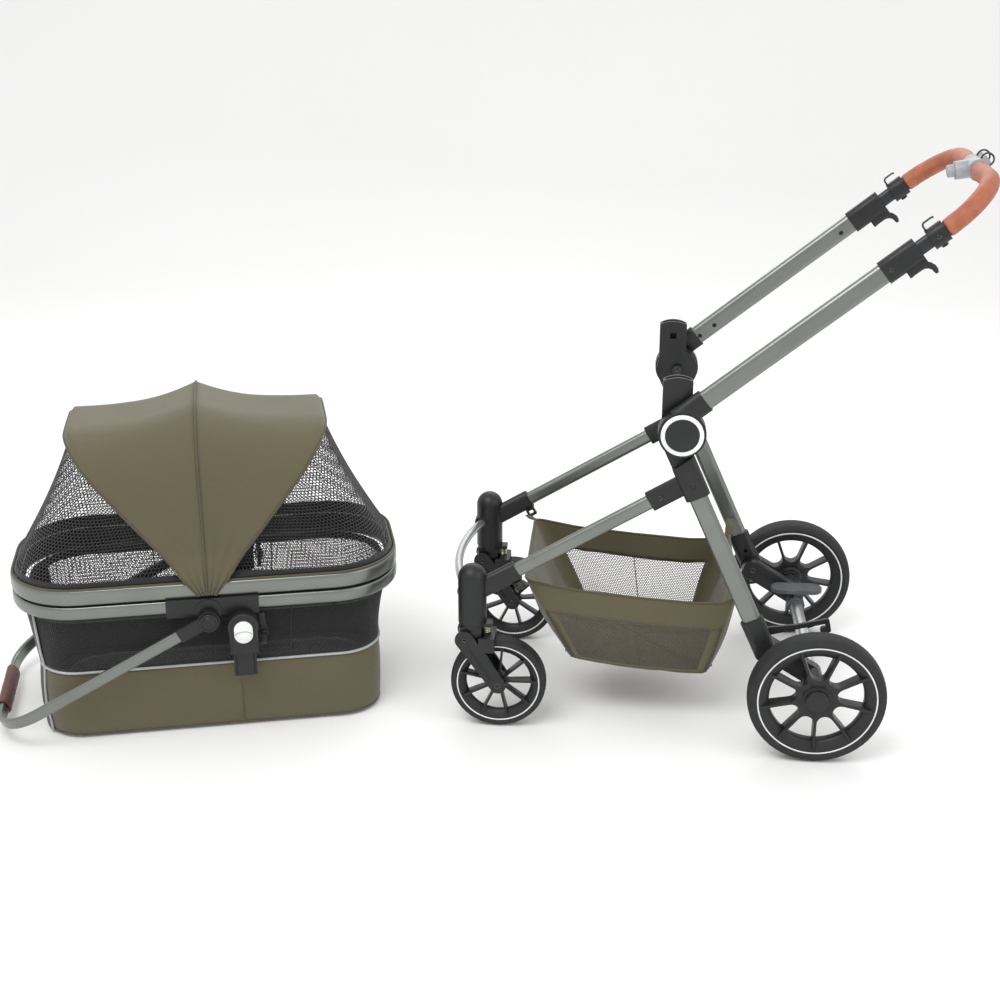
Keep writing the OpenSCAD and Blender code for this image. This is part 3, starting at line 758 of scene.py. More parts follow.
def end_surface(sign):
    """The netting's surface at one end: from the rim up to the outer rib."""
    rim = [(x * -sign, y, RING_TOP + 3) for x, y in plan_curve(*grown(RING, -9, -8))]
    line = rib_line(sign * RIB_A, RIB_OUT - 6, HOOD_HALF - 7, 108, 56, 0)
    return Ruled(rim, line, 9, Vector((sign * 60, 0, 360)))


def make_nets():
    """The netting at both ends; both ride on the carrier."""
    for name, sign, node in (("front", -1, "net_front"), ("rear", 1, "net_rear")):
        surface = end_surface(sign)
        net = piece("net_%s_open" % name, netting(surface, 7.8, 1.5), CARRIER, NET)
        edges = merge([quad_grid(surface.band(-15, -1)), quad_grid(surface.band(0, 9))])
        edge = piece("net_%s_edges" % name, edges, CARRIER, STRAP)
        for obj, thick in ((net, 0.8), (edge, 1.5)):
            face_outward(obj, (0, 0, 330))
            solid_sheet(obj, thick)
            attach(obj, "carrier")
            if sign < 0:
                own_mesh(obj)
        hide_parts(node)


def body_rows(levels):
    """Rows of plan loops at (z, length, width, corner, bulge) levels with a little slack in the cloth."""
    rows = []
    for z, length, width, corner, bulge in levels:
        row = []
        for p in loop_at(z, (length, width, corner), BODY_POINTS):
            out = Vector((p.x / length ** 2, p.y / width ** 2, 0)).normalized()
            slack = ripple(p, 0.012, 0.02) + ripple(p, 0.024, 0.005, 4)
            row.append(p + out * (bulge + slack * min(1.7, bulge + 0.6)))
        rows.append(row)
    return rows


def cloth(name, bm, material, slot, thick, height, stands_for=()):
    """A cloth of the carrier's body, turned away from the middle at one height and given its thickness."""
    obj = piece(name, bm, CARRIER, material, "carrier", stands_for)
    face_outward(obj, (0, 0, height))
    return solid_sheet(obj, thick)


def make_body():
    """The cloth lower body with its lining, the mesh upper body, and the piping between them."""
    length, width, corner = BASE
    levels = [(z, *grown(BASE, -inset), 0) for z, inset in ((0.8, 16), (1.6, 9), (4.5, 4))]
    levels.append((11, *grown(BASE, -0.5, 0), 0.2))
    levels += [(z, length + 1.2 * math.sin(math.pi * (z - 11) / 126), width, corner,
                2.4 * math.sin(math.pi * (z - 11) / 126)) for z in range(20, 134, 9)]
    levels.append((SEAM_Z, length, width, corner, 0))
    bm = quad_grid(body_rows(levels), closed_u=True)
    bm.verts.ensure_lookup_table()
    bm.faces.new(bm.verts[:BODY_POINTS])
    lower = cloth("body_lower_cloth", bm, OLIVE, "olive_twill", 2.6, 60, ["body_lower"])

    inside = [(z, a - 3.6, b - 3.6, c - 3, bulge) for z, a, b, c, bulge in levels[4:]]
    lining = cloth("body_lining", quad_grid(body_rows(inside), closed_u=True), STRAP, "black_mesh", 0.8, 60)

    wall = Ruled(loop_at(SEAM_Z, BASE), loop_at(NECK_Z, NECK), 3, Vector((0, 0, 190)), 300, True)
    upper = cloth("body_upper_mesh", netting(wall, 4.6, 1.5), MESH, "black_mesh", 0.8, 190, ["body_upper"])
    hems = merge([quad_grid(wall.band(0, 7), True), quad_grid(wall.band(-16, -1), True)])
    hem = cloth("body_upper_hems", hems, STRAP, "black_mesh", 1.2, 190)

    seam = tube(loop_at(SEAM_Z, grown(BASE, 1.2, 1), BODY_POINTS), 2.5, 8, closed=True)
    piece("body_piping", seam, CARRIER, PIPING, "carrier")
    base = tube(loop_at(7, grown(BASE, -1.5, -1), BODY_POINTS), 1.5, 6, closed=True)
    piece("body_base_piping", base, CARRIER, OLIVE_BINDING, "carrier")


def make_body_seams():
    """Vertical seams on the upper and lower body."""
    parts = []
    for side in (-1, 1):
        parts.append(tube([(52, side * (BASE[1] + 0.9 + 2.2 * math.sin(math.pi * z / 130)), z)
                           for z in range(9, 136, 8)], 0.9, 6, up=X_AXIS))
    piece("body_lower_seams", merge(parts), CARRIER, OLIVE_BINDING, "carrier")
    parts = []
    for side, x in ((-1, 145), (1, -110), (1, 120)):
        parts.append(tube([(x * (1 + 0.0004 * (z - SEAM_Z)), side * (BASE[1] + 0.8), z)
                           for z in range(SEAM_Z, NECK_Z, 8)], 1.3, 6, up=X_AXIS))
    piece("body_upper_seams", merge(parts), CARRIER, STRAP, "carrier")


def make_door():
    """The black panel round the front end with silver piping down both edges."""
    door, pipes = [], []
    for z in (6, 12, 30, 60, 90, 115, SEAM_Z, 165, 195, 225, NECK_Z - 2):
        half = 132.5 - 0.052 * z
        up = max(0.0, (z - SEAM_Z) / (NECK_Z - SEAM_Z))
        length = BASE[0] + (NECK[0] - BASE[0]) * up + 2.4 + 5 * math.sin(math.pi * min(z, SEAM_Z) / SEAM_Z)
        width = BASE[1] + 1.2
        corner = BASE[2] + (NECK[2] - BASE[2]) * up
        curve = resample([(x, y, z) for x, y in plan_curve(length, width, corner)], 160)
        door.append(resample([p for p in curve if abs(p.y) <= half], 41))
        pipes.append((door[-1][0].copy(), door[-1][-1].copy()))
    panel = cloth("body_door", quad_grid(door), MESH, "black_mesh", 1.2, 120)
    sides = [tube([pair[k] for pair in pipes], 2.3, 8, up=X_AXIS) for k in (0, 1)]
    piece("body_door_piping", merge(sides), CARRIER, PIPING, "carrier")


def make_inner_band():
    """The black band inside the rim with its zip."""
    surface = Ruled(loop_at(268, grown(RIM, -4)), loop_at(315, RIM), closed=True)
    band = piece("rim_inner_band", quad_grid(surface.band(0, 44, 5), True), CARRIER, STRAP, "carrier")
    solid_sheet(band, 1.2)
    line = loop_at(297, grown(RIM, -3.5), 300)
    teeth = stitches(line + [line[0]], lambda p: Vector((-p.x, -p.y, 0)), 4.2, 1.5, 3.0)
    piece("rim_zip", teeth, CARRIER, ZIP, "carrier")


def make_mat():
    """A quilted, slightly crowned cushion on the carrier's floor."""
    rim = plan_loop(*grown(BASE, -12))
    rings, channel_pitch = 26, 76
    rows = [[Vector((x, y, 4.4)) for x, y in rim]]
    for i in range(rings + 1):
        t = i / rings
        crown = 30 * math.sqrt(max(0.0, 1 - (1 - t) ** 6))
        row = []
        for x, y in rim:
            channel = abs(math.sin(math.pi * x * (1 - t) / channel_pitch))
            row.append(Vector((x * (1 - t), y * (1 - t), 6 + crown - 3.5 * (1 - channel) ** 3 * min(1, t * 6))))
        rows.append(row)
    bm = quad_grid(rows, closed_u=True)
    bm.verts.ensure_lookup_table()
    bm.faces.new(bm.verts[:len(rim)])
    bmesh.ops.remove_doubles(bm, verts=bm.verts, dist=0.01)
    mat = piece("floor_cushion", bm, CARRIER, MAT_CLOTH, "carrier", ["floor_mat"])


# ---------- carrier, hard parts ----------


def soft_ring(z0, z1, thick):
    """A flat-oval ring between two heights: rounded outside, flat inside."""
    middle, half = (z0 + z1) / 2, (z1 - z0) / 2
    loops = [resample([(x, y, middle) for x, y in plan_loop(*grown(RING, -inset), 20)], 260, True)
             for inset in (0, thick)]
    rows = []
    for a, b in zip(*loops):
        out = (a - b).normalized()
        row = []
        for turn in turns(16):
            across = math.copysign(abs(math.cos(turn)) ** 0.62, math.cos(turn)) * thick / 2
            high = math.copysign(abs(math.sin(turn)) ** 0.72, math.sin(turn)) * half
            row.append((a + b) / 2 + out * across + Vector((0, 0, high)))
        rows.append(row)
    return quad_grid(rows, closed_u=True, closed_v=True)


def make_rings():
    """The two oval rings of the rim with their piping, and the skirt between them."""
    for name, ring in (("lower_ring", soft_ring(250, 275, 12)), ("upper_ring", soft_ring(279, RING_TOP, 10))):
        piece(name + "_tube", ring, CARRIER, SATIN, "carrier", [name])
    loop = loop_at(RING_TOP + 1.5, grown(RING, -5), 240)
    piece("rim_piping", tube(loop, 2.4, 8, closed=True), CARRIER, OLIVE_BINDING, "carrier")
    gap = Ruled(loop_at(263, RIM), loop_at(300, RIM), closed=True)
    skirt = piece("rim_skirt", quad_grid(gap.band(0, 36, 3), True), CARRIER, STRAP, "carrier")
    solid_sheet(skirt, 1.0)


def make_grip():
    """The leather sleeve on the carry handle, which leans forward and down from its pivot."""
    tilt, reach = math.radians(180 + 27.5), 450
    half_long, half_wide, half_thin = 75, 16.3, 10.6
    middle = Vector((reach * math.cos(tilt), 0, CARRY_Z + reach * math.sin(tilt)))
    long_way = Vector((-math.sin(tilt), 0, math.cos(tilt)))
    short_way = Vector((math.cos(tilt), 0, math.sin(tilt)))
    rows = []
    steps = 46
    for i in range(steps + 1):
        y = -half_long + 2 * half_long * i / steps
        end = min(1.0, (half_long - abs(y)) / 3.0)
        row = []
        for turn in turns(28):
            wrinkle = 0.5 * noise.noise(Vector((y * 0.16, math.cos(turn) * 1.2, math.sin(turn) * 1.2)))
            extra = wrinkle - 1.2 * (1 - end)
            row.append(middle + Vector((0, y, 0)) + long_way * ((half_wide + extra) * math.sin(turn))
                       + short_way * ((half_thin + extra) * math.cos(turn)))
        rows.append(row)
    shell = piece("carry_grip_leather", quad_grid(rows, closed_u=True), CARRIER, BROWN,
                  "carry_handle", ["carry_grip"])
    solid_sheet(shell, 3.2)
    seam = [middle + Vector((0, y, 0)) - short_way * (half_thin + 0.1) for y in range(-72, 73, 6)]
    thread = stitches(seam, lambda p: -short_way, 5, 0.5, 3.2)
    piece("carry_grip_stitches", thread, CARRIER, BROWN, "carry_handle")


def make_bracket_details():
    """Edge lines, button steps, a strap and a slide buckle at the carrier's side brackets."""
    for side, name in SIDES:
        out = Vector((0, side, 0))
        line = [(BRACKET_X + 24 * math.cos(a), side * 203.2, 226 + 25.5 * math.sin(a))
                for a in map(math.radians, range(-8, 189, 7))]
        line = [(BRACKET_X + 23.5, side * 203.2, 179)] + line + [(BRACKET_X - 23.5, side * 203.2, 179)]
        piece("bracket_%s_edge" % name, tube(line, 0.9, 6, up=out), CARRIER, STEEL, "carrier")
        step = [(BRACKET_X + 15 * math.cos(a), side * 206.2, 213 + 6 * math.sin(a))
                for a in map(math.radians, range(0, 181, 12))]
        step = tube(step, 0.8, 6, up=out)
        piece("button_%s_step" % name, step, CARRIER, SILVER, "release_" + name)
        cap = lathe([(0.02, 6.6), (12, 6.2), (14.5, 5.4), (15, 4.4), (16.2, 4.2), (17, 5.2), (20.5, 5.0), (21.8, 3.8),
                     (22, 0), (0.02, 0)], 64)
        bmesh.ops.scale(cap, vec=(0.82, side, 0.82), verts=cap.verts)
        bmesh.ops.translate(cap, vec=(0, side * 202.2, CARRY_Z), verts=cap.verts)
        piece("carry_pivot_%s_cap" % name, cap, CARRIER, BLACK_SMOOTH, "carry_handle")
        strap = [Vector((STRAP_X + 1.5 * math.sin(z * 0.1), side * 179.6, z)) for z in range(178, 250, 9)]
        piece("side_strap_%s" % name, ribbon(strap, 9, out, 1.4), CARRIER, STRAP, "carrier")
        left, right, buckle_z = STRAP_X - 7.5, STRAP_X + 7.5, 206
        edge = [(x, side * 181.4, buckle_z + dz) for x, dz in ((left, -8), (right, -8), (right, 8), (left, 8))]
        bars = merge([tube(edge, 1.5, 8, closed=True, up=out),
                      tube([(x, side * 182.4, buckle_z) for x in (left, right)], 1.5, 8, up=out)])
        piece("side_buckle_%s" % name, bars, CARRIER, BLACK_SMOOTH, "carrier")


# ---------- chassis ----------

SPOKES = 9
REAR_WHEEL = dict(radius=125, ring=107, opening=85.5, width=43, valley=37, spoke=5.2, hub=21.4, core=26,
                  deep=23, front=13, lip=19.5, phase=-90)
FRONT_WHEEL = dict(radius=90.5, ring=78, opening=61, width=36, valley=17, spoke=4.2, hub=10.5, core=11,
                   deep=20.5, front=8.5, lip=15.5, phase=4)


def tyre_mesh(radius, ring, width, side):
    """A round tyre with two rows of shallow blocks shifted against each other."""
    half = width / 2
    wall = radius - ring
    profile = [(ring + 0.6, -half + 4), (ring + 0.3, -half + 2.6), (ring + 2.5, -half + 0.7),
               (ring + wall * 0.35, -half), (ring + wall * 0.5, -half + 0.4), (ring + wall * 0.54, -half + 1.3)]
    rows = 17
    start = len(profile)
    for j in range(rows):
        turn = math.pi * (j + 0.5) / rows
        h = -math.cos(turn) * (half - 1.8)
        r = radius - wall * 0.4 + wall * 0.4 * math.sin(turn) ** 0.55
        profile.append((r, h))
    profile += [(r, -h) for r, h in reversed(profile[:start])]
    points = []
    for k, a in enumerate(turns(224)):
        row = []
        for j, (r, h) in enumerate(profile):
            if start <= j < start + rows:
                r -= 0.9 if (k // 2 + j - start) % 2 else 0.0
            row.append(Vector((r * math.cos(a), side * h, r * math.sin(a))))
        points.append(row)
    return quad_grid(points, closed_u=True, closed_v=True)


def unit(angle):
    return Vector((math.cos(angle), math.sin(angle)))


def rim_mesh(w, side):
    """Flange, nine deep spokes that run out of a star-shaped hub, and the hub's core."""
    o, ring, lip = w["opening"], w["ring"], w["lip"]
    flange = lathe([(ring + 0.2, lip - 1.5), (ring - 1.2, lip), (ring - 3, lip - 0.3), (o + 3.5, lip - 9.5),
                    (o + 1, lip - 11.5), (o, lip - 13.5), (o, -lip + 13), (o + 1, -lip + 11), (o + 4, -lip + 9),
                    (ring - 3, -lip + 1.4), (ring - 0.5, -lip + 1), (ring + 0.2, -lip + 2)], 144)
    gap = math.pi / SPOKES
    centre = (w["valley"] - w["spoke"] / 2) / (1 - math.sin(gap))
    fillet = centre * math.sin(gap) - w["spoke"] / 2
    tip = ring - 3.5
    radii = (tip, o, (o + centre * math.cos(gap)) / 2)
    outline = []
    for i in range(SPOKES):
        axis = math.radians(w["phase"]) + 2 * gap * i
        along, across = unit(axis), unit(axis + math.pi / 2)
        outline += [along * r + across * w["spoke"] / 2 for r in radii]
        for k in range(13):
            turn = axis - math.pi / 2 - (math.pi - 2 * gap) * k / 12
            outline.append(unit(axis + gap) * centre + unit(turn) * fillet)
        along, across = unit(axis + 2 * gap), unit(axis + 2 * gap + math.pi / 2)
        outline += [along * r - across * w["spoke"] / 2 for r in reversed(radii)]
    core, front, deep, hub = w["core"], w["front"], w["deep"], w["hub"]
    rows = [[], [], [], []]
    for p in outline:
        top = front + max(0.0, p.length - w["valley"]) / (tip - w["valley"]) * (lip - 0.8 - front)
        back = -lip + 9 if p.length > o else -front * 0.8
        near = p.normalized() * (core - 1)
        for row, flat, height in zip(rows, (near, p, p, near), (front, top, back, back)):
            row.append(Vector((flat.x, side * height, flat.y)))
    star = quad_grid(rows, closed_u=True, closed_v=True)
    boss = lathe([(0.02, deep + 1.4), (hub * 0.55, deep + 1.2), (hub * 0.86, deep + 0.7), (hub * 0.97, deep - 0.4),
                  (hub, deep - 2), (hub, front + 1), (hub + 0.6, front + 0.2), (core, front + 0.2),
                  (core, -front * 0.8), (core * 0.8, -front * 0.8 - 1), (core * 0.8, -deep + 1),
                  (core * 0.8 - 1, -deep), (0.02, -deep)], 72)
    for part in (boss, flange):
        bmesh.ops.scale(part, vec=(1, side, 1), verts=part.verts)
    return merge([flange, star, boss])


def pale_rings(radius, half, thick=1.5):
    """The pale stripe on both faces of a wheel."""
    rings = [lathe([(radius - thick, half), (radius - thick, half - 1), (radius + thick, half - 1),
                    (radius + thick, half), (radius, half + 0.8)], 144) for _ in range(2)]
    bmesh.ops.scale(rings[1], vec=(1, -1, 1), verts=rings[1].verts)
    return merge(rings)


def make_wheels():
    """Four wheels, each a tyre, a rim and its pale stripes."""
    for side, name in SIDES:
        for end, w in (("rear", REAR_WHEEL), ("front", FRONT_WHEEL)):
            body, which = "%s_wheel_%s" % (end, name), (end, name)
            place = Matrix.Translation(JOINTS[body + "_spin"]["pos_m"]) @ Matrix.Scale(0.001, 4)
            tyre = piece("%s_tyre_%s_tread" % which, tyre_mesh(w["radius"], w["ring"], w["width"], side), place,
                         TYRE, body, ["%s_tyre_%s" % which])
            sharpen(tyre, 60)
            rim = piece("%s_rim_%s_spokes" % which, rim_mesh(w, side), place, BLACK, body,
                        ["%s_rim_%s" % which])
            bevel_edges(rim, 0.7, 38, 45)
            piece("%s_ring_%s" % which, pale_rings(w["ring"] - 0.6, w["lip"] - 0.2), place, PALE, body)


def make_springs():
    """The two caster springs, which ride on their casters."""
    coils, radius, steps = 3.6, 7.2, 90
    for name in ("left", "right"):
        low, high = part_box("caster_spring_" + name)
        middle = (low + high) / 2
        tall = (high.z - low.z) * 1000
        path = []
        for i in range(steps + 1):
            a = 2 * math.pi * coils * i / steps
            path.append((radius * math.cos(a), radius * math.sin(a), -tall / 2 + 1.2 + (tall - 2.4) * i / steps))
        place = Matrix.Translation(middle) @ Matrix.Scale(0.001, 4)
        coil = piece("caster_spring_%s_coil" % name, tube(path, 1.35, 8), place, ZINC,
                     "caster_" + name, ["caster_spring_" + name])
        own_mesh(coil)


def screw(place, direction, radius):
    """A countersunk screw head with a socket."""
    return stud([(0.02, -0.9), (radius * 0.42, -0.9), (radius * 0.46, 0.5), (radius * 0.88, 0.6), (radius, 0.0),
                 (radius, -1.5)], place, direction)


def side_point(p, angle, s, n=0.0):
    a = math.radians(angle)
    return (p[0] + s * math.cos(a) - n * math.sin(a), p[1] + s * math.sin(a) + n * math.cos(a))


HUB_Z = HUB.z * 1000
FOLD = (23, 506)
FRONT_SLOPE = 31
PUSH_A = 39
PUSH_N = 24
BAR_CORNER, BAR_R, PUSH_Y = 551, 104, 208
CASTER_Y = 182


def push_point(s, y, n=0.0):
    x, z = side_point((0, HUB_Z), PUSH_A, s, PUSH_N + n)
    return Vector((x, y, z))


def make_screws():
    """Screw heads, the casings' plugs and the button holes of the push tubes."""
    groups = {"front_frame": [], "rear_frame": [], "push_handle": [], "handlebar": [], "rear_axle": []}
    plugs, holes = [], []
    for side in (-1, 1):
        y = Vector((0, side, 0))
        x, z = side_point(FOLD, 180 + FRONT_SLOPE, 65)
        groups["front_frame"].append(screw((x, side * 188.7, z), y, 5.4))
        groups["rear_frame"].append(screw((0, side * 169.3, HUB_Z), -y, 6))
        groups["push_handle"].append(screw(push_point(443, side * 220.2), y, 4.4))
        groups["handlebar"].append(screw(push_point(534, side * 223.2), y, 4.4))
        groups["rear_axle"].append(screw((172, side * 162.3, 180), -y, 6.5))
        plugs.append(stud([(0.02, 0.0), (4.9, 0.0), (4.9, -3.0)], (FOLD[0], side * 212, FOLD[1]), y))
        for s in (73, 108, 404):
            rim = [(0.02, 0.1), (3.4, 0.1), (3.7, 0.3), (4.3, 0.02)]
            holes.append(stud(rim, push_point(s, side * 198.95, -2), -y))
    for body, parts in groups.items():
        piece("screws_" + body, merge(parts), CHASSIS, SCREW, body)
    piece("casing_plugs", merge(plugs), CHASSIS, BLACK, "rear_frame")
    piece("push_tube_holes", merge(holes), CHASSIS, BLACK_SMOOTH, "push_handle")
    for side, name in SIDES:
        parts = []
        for face in (-1, 1):
            for x, z, radius in ((-385, 184, 5.2), (-323, 90.5, 6.8)):
                parts.append(screw((x, side * CASTER_Y + face * 28.2, z), Vector((0, face, 0)), radius))
        piece("screws_fork_" + name, merge(parts), CHASSIS, SCREW, "fork_" + name)


def make_sleeves():
    """Stitched leather round the handlebar's two bends, up to the centre block."""
    radius, bend_steps, straight_steps, block_half = 16, 44, 19, 30
    straight = PUSH_Y - BAR_R - block_half
    run = Vector((math.cos(math.radians(PUSH_A)), 0, math.sin(math.radians(PUSH_A))))
    normal = Vector((-run.z, 0, run.x))
    for side, name in SIDES:
        path, inward = [], []
        for i in range(bend_steps + 1):
            a = math.pi / 2 * i / bend_steps
            path.append(push_point(BAR_CORNER + BAR_R * math.sin(a), side * (PUSH_Y - BAR_R + BAR_R * math.cos(a))))
            inward.append(-run * math.sin(a) - Vector((0, side, 0)) * math.cos(a))
        for i in range(1, straight_steps + 1):
            path.append(push_point(BAR_CORNER + BAR_R, side * (PUSH_Y - BAR_R - straight * i / straight_steps)))
            inward.append(-run)
        rows = []
        for i, (p, inn) in enumerate(zip(path, inward)):
            end = min(i, len(path) - 1 - i)
            row = []
            for k, turn in enumerate(turns(32)):
                direction = inn * math.cos(turn) + normal * math.sin(turn)
                bend = max(0.0, math.cos(turn)) if i <= bend_steps else 0.25
                crease = 0.55 * bend * math.sin(i * 1.9 + 0.8 * math.sin(turn * 2))
                soft = 0.5 * noise.noise(p * 0.05 + direction * 1.5)
                seam = -0.7 if k == 0 else 0.0
                r = radius + crease + soft + seam - (2.2 if end == 0 else 0.5 if end == 1 else 0)
                row.append(p + direction * r)
            rows.append(row)
        sleeve = piece("sleeve_%s_leather" % name, quad_grid(rows, closed_u=True), CHASSIS, TAN,
                       "handlebar")
        solid_sheet(sleeve, 4)
        if side < 0:
            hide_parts("grip_sleeves")
        threads = []
        for tilt in (0.16, -0.16):
            line = [p + (inn * math.cos(tilt) + normal * math.sin(tilt)) * (radius + 0.1)
                    for p, inn in zip(path[1:-1], inward[1:-1])]
            threads.append(stitches(line, lambda q: -run, 5.0, 0.45, 3.2))
        piece("sleeve_%s_stitches" % name, merge(threads), CHASSIS, TAN, "handlebar")


def make_levers():
    """The rounded finger levers under the collars, the bent wire hooks and the two leash rings.

    Lines are (distance along the push tube, height off its axis), with the lever's radius as a third number.
    """
    lever_line = [(462, -22, 4.0), (474, -25, 5.6), (484, -27, 6.4), (491, -29.5, 6.2), (496.5, -34, 5.6),
                  (500, -41, 4.9), (500.2, -47, 4.4), (499.4, -52, 2.8)]
    hook_line = [(523, 18), (523, 22), (523, 25.5), (523.6, 28), (525.2, 30), (527.6, 31), (531, 31), (537, 31),
                 (542, 31), (543.6, 30.4), (544.4, 28.8)]
    wires = []
    for side, name in SIDES:
        lever = tube([push_point(s, side * PUSH_Y, n) for s, n, _ in lever_line], [r for _, _, r in lever_line], 16,
                     up=Y_AXIS)
        piece("trigger_%s_lever" % name, lever, CHASSIS, BLACK, "trigger_" + name,
              ["trigger_" + name])
        wires.append(tube([push_point(s, side * PUSH_Y, n) for s, n in hook_line], 1.7, 12, up=Y_AXIS))
        ring = [push_point(BAR_CORNER + BAR_R + 22 + 11 * math.cos(a), side * 17, 4 + 11 * math.sin(a))
                for a in turns(48)]
        wires.append(tube(ring, 1.6, 12, closed=True, up=Y_AXIS))
    piece("handle_wires", merge(wires), CHASSIS, STEEL, "handlebar", ["handle_wire_loops"])


# Side view of the basket: (x, z) along its top and bottom edges, front to rear
BASKET_TOP = [(-276, 286), (-190, 270), (-74, 259), (40, 251), (92, 253), (119, 266)]
BASKET_LOW = [(-197, 128), (-165, 120), (-69, 107), (30, 101), (62, 101), (78, 108)]
BASKET_HALF = 152


def on_line(line, share):
    xs = line[0][0] + (line[-1][0] - line[0][0]) * share
    for (x0, z0), (x1, z1) in zip(line, line[1:]):
        if xs <= x1 or (x1, z1) == line[-1]:
            t = (xs - x0) / (x1 - x0)
            return xs, z0 + (z1 - z0) * t


def basket_point(share, down, across):
    """share runs front to rear, down runs from the top edge to the floor's edge, across from -1 to 1."""
    top, low = on_line(BASKET_TOP, share), on_line(BASKET_LOW, share)
    x = top[0] + (low[0] - top[0]) * down
    z = top[1] + (low[1] - top[1]) * down
    return Vector((x, across * (BASKET_HALF - 7 * down ** 2), z))


def basket_bulge(p, down):
    """How far the cloth hangs out at a point."""
    hang = 4.5 * math.sin(math.pi * down) * (1 + ripple(p, 0.012, 0.006))
    return hang + 1.6 * ripple(p, 0.035, 0.01, 5) * (0.3 + down)


def basket_loop(down):
    """A loop round the basket at one depth, with soft corners and slack walls."""
    count_long, count_end = 30, 22
    corner = 0.045 + 0.03 * down
    reach = 2.4 * corner
    bends = [math.pi / 2 * i / 6 for i in range(1, 6)]
    half = [(corner + (1 - 2 * corner) * i / (count_long - 1), -1.0) for i in range(count_long)]
    half += [(1 - corner + corner * math.sin(a), -1 + reach * (1 - math.cos(a))) for a in bends]
    half += [(1.0, -1 + reach + (2 - 2 * reach) * i / (count_end - 1)) for i in range(count_end)]
    half += [(1 - corner + corner * math.cos(a), 1 - reach * (1 - math.sin(a))) for a in bends]
    loop = []
    for share, across in half + [(1 - share, -across) for share, across in half]:
        p = basket_point(share, down, across)
        out = Vector((0, across, 0)) if abs(across) > 0.9 else Vector((1 if share > 0.5 else -1, 0, 0))
        loop.append(p + out * basket_bulge(p, down))
    return loop


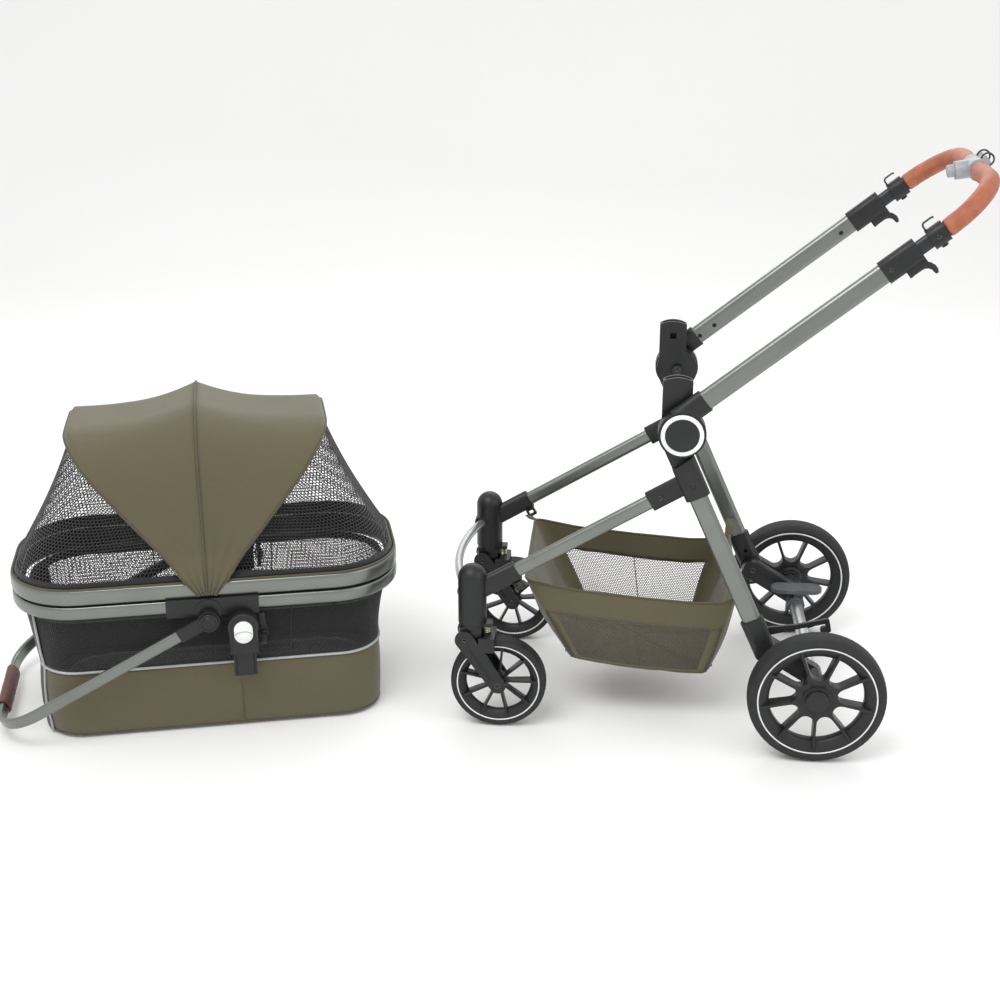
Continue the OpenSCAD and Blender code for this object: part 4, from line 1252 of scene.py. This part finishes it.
def make_basket():
    """The cloth basket with its mesh windows, seams and straps."""
    levels = 20
    loops = [basket_loop(i / levels) for i in range(levels + 1)]
    bm = quad_grid(loops, closed_u=True)
    bm.verts.index_update()
    count = len(loops[0])
    doomed = []
    for face in bm.faces:
        index = [v.index for v in face.verts]
        down = (min(index) // count + 0.5) / levels
        column = min(i % count for i in index) % (count // 2)
        if 0.37 < down < 0.96 and 1 <= column < 28:
            doomed.append(face)
    bmesh.ops.delete(bm, geom=doomed, context="FACES")
    rim = loops[-1]
    middle = sum(rim, Vector()) / count
    rings = 9
    floor = [rim]
    for i in range(1, rings + 1):
        t = i / rings
        floor.append([p.lerp(middle, t) - Vector((0, 0, 7 * math.sin(math.pi * t / 2) + 1.2 * noise.noise(p * 0.02)))
                      for p in rim])
    cloth = merge([bm, quad_grid(floor, closed_u=True)])
    bmesh.ops.remove_doubles(cloth, verts=cloth.verts, dist=0.05)
    basket = piece("basket_cloth", cloth, CHASSIS, OLIVE)
    solid_sheet(basket, 1.4, 0)
    windows, straps = [], []
    edges = [tube(loops[0], 2.2, 8, closed=True)]
    for across in (-1, 1):
        low, high = ([basket_panel(0.03 + s / 30 * 0.94, down, across) for s in range(31)] for down in (0.98, 0.34))
        windows.append(netting(Ruled(low, high, -3.5, Vector((-60, 0, 180)), 60), 4.2, 1.25))
        edges.append(tube([basket_panel(s / 30, 0.36, across) + Vector((0, across, 0)) for s in range(1, 30)], 1.2, 6))
        edges.append(tube([basket_panel(0.5, d / 12 * 0.6 + 0.37, across) + Vector((0, across * 0.8, 0))
                           for d in range(13)], 1.1, 6, up=X_AXIS))
        edges.append(tube([basket_panel(s / 30, 0.985, across) for s in range(1, 30)], 1.6, 6))
        for anchor, corner in ((Vector((-292, across * 172, 284)), 0.0), (Vector((123, across * 191, 285)), 1.0)):
            start = basket_point(corner, 0.02, across)
            mid = start.lerp(anchor, 0.5) - Vector((0, 0, 2))
            straps.append(ribbon([start, mid, anchor], 16, Vector((0, 0.3 * across, 1)), 1.6))
    for share in (0.0, 1.0):
        edges.append(tube([basket_point(share, 0.985, c / 10) for c in range(-9, 10)], 1.6, 6))
    edges.append(tube([floor_point(middle, c / 10) for c in range(-9, 10)], 1.2, 6))
    window = piece("basket_mesh", merge(windows), CHASSIS, BASKET_MESH)
    solid_sheet(window, 0.6, 0)
    binding = piece("basket_seams", merge(edges), CHASSIS, OLIVE_BINDING)
    strap = piece("basket_straps", merge(straps), CHASSIS, OLIVE_BINDING)
    for obj in (basket, window, binding, strap):
        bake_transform(obj)
    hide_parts("basket")


def basket_panel(share, down, across):
    """A point on one of the basket's long walls."""
    p = basket_point(share, down, across)
    return p + Vector((0, across * basket_bulge(p, down), 0))


def floor_point(middle, across):
    """A point on the seam across the basket's floor."""
    sag = 7 * math.cos(across * math.pi / 2) + 0.4
    return Vector((middle.x, across * BASKET_HALF * 0.94, middle.z - sag))


# ---------- CAD nodes that keep their shape ----------

ROUNDED = {
    "front_upper_sockets": 1.6, "front_lower_sockets": 1.8, "leg_casings": 1.8, "receivers": 1.4,
    "rear_leg_sockets": 1.8, "push_sockets": 1.6, "hub_caps": 0.8, "handle_collars": 1.6, "end_collars": 1.6,
    "handle_block": 2.0, "handle_button": 2.0, "trailing_arms": 2.0,
    "brake_pedal": 1.8, "storage_hook": 1.2, "basket_hooks": 1.0, "hub_housings": 2.0, "carrier_brackets": 1.2,
    "release_button_left": 1.5, "release_button_right": 1.5, "carry_sockets": 1.4, "hub_rings": 0.4,
    "caster_yoke_left": 1.2, "caster_yoke_right": 1.2, "caster_fork_left": 1.4, "caster_fork_right": 1.4,
}


def dress_cad():
    for node, width in ROUNDED.items():
        rounded(node, width)
    for node, obj in frame["nodes"].items():
        if not obj.hide_render:
            obj.data.materials.clear()
            obj.data.materials.append(SLOT_MATERIAL[NODE_SLOT[node]])
            for face in obj.data.polygons:
                face.use_smooth = True
            obj.data.set_sharp_from_angle(angle=math.radians(35))


make_camera()
make_studio()
make_hood()
make_nets()
make_body()
make_body_seams()
make_door()
make_inner_band()
make_mat()
make_rings()
make_grip()
make_bracket_details()
make_wheels()
make_springs()
make_screws()
make_sleeves()
make_levers()
make_basket()
dress_cad()
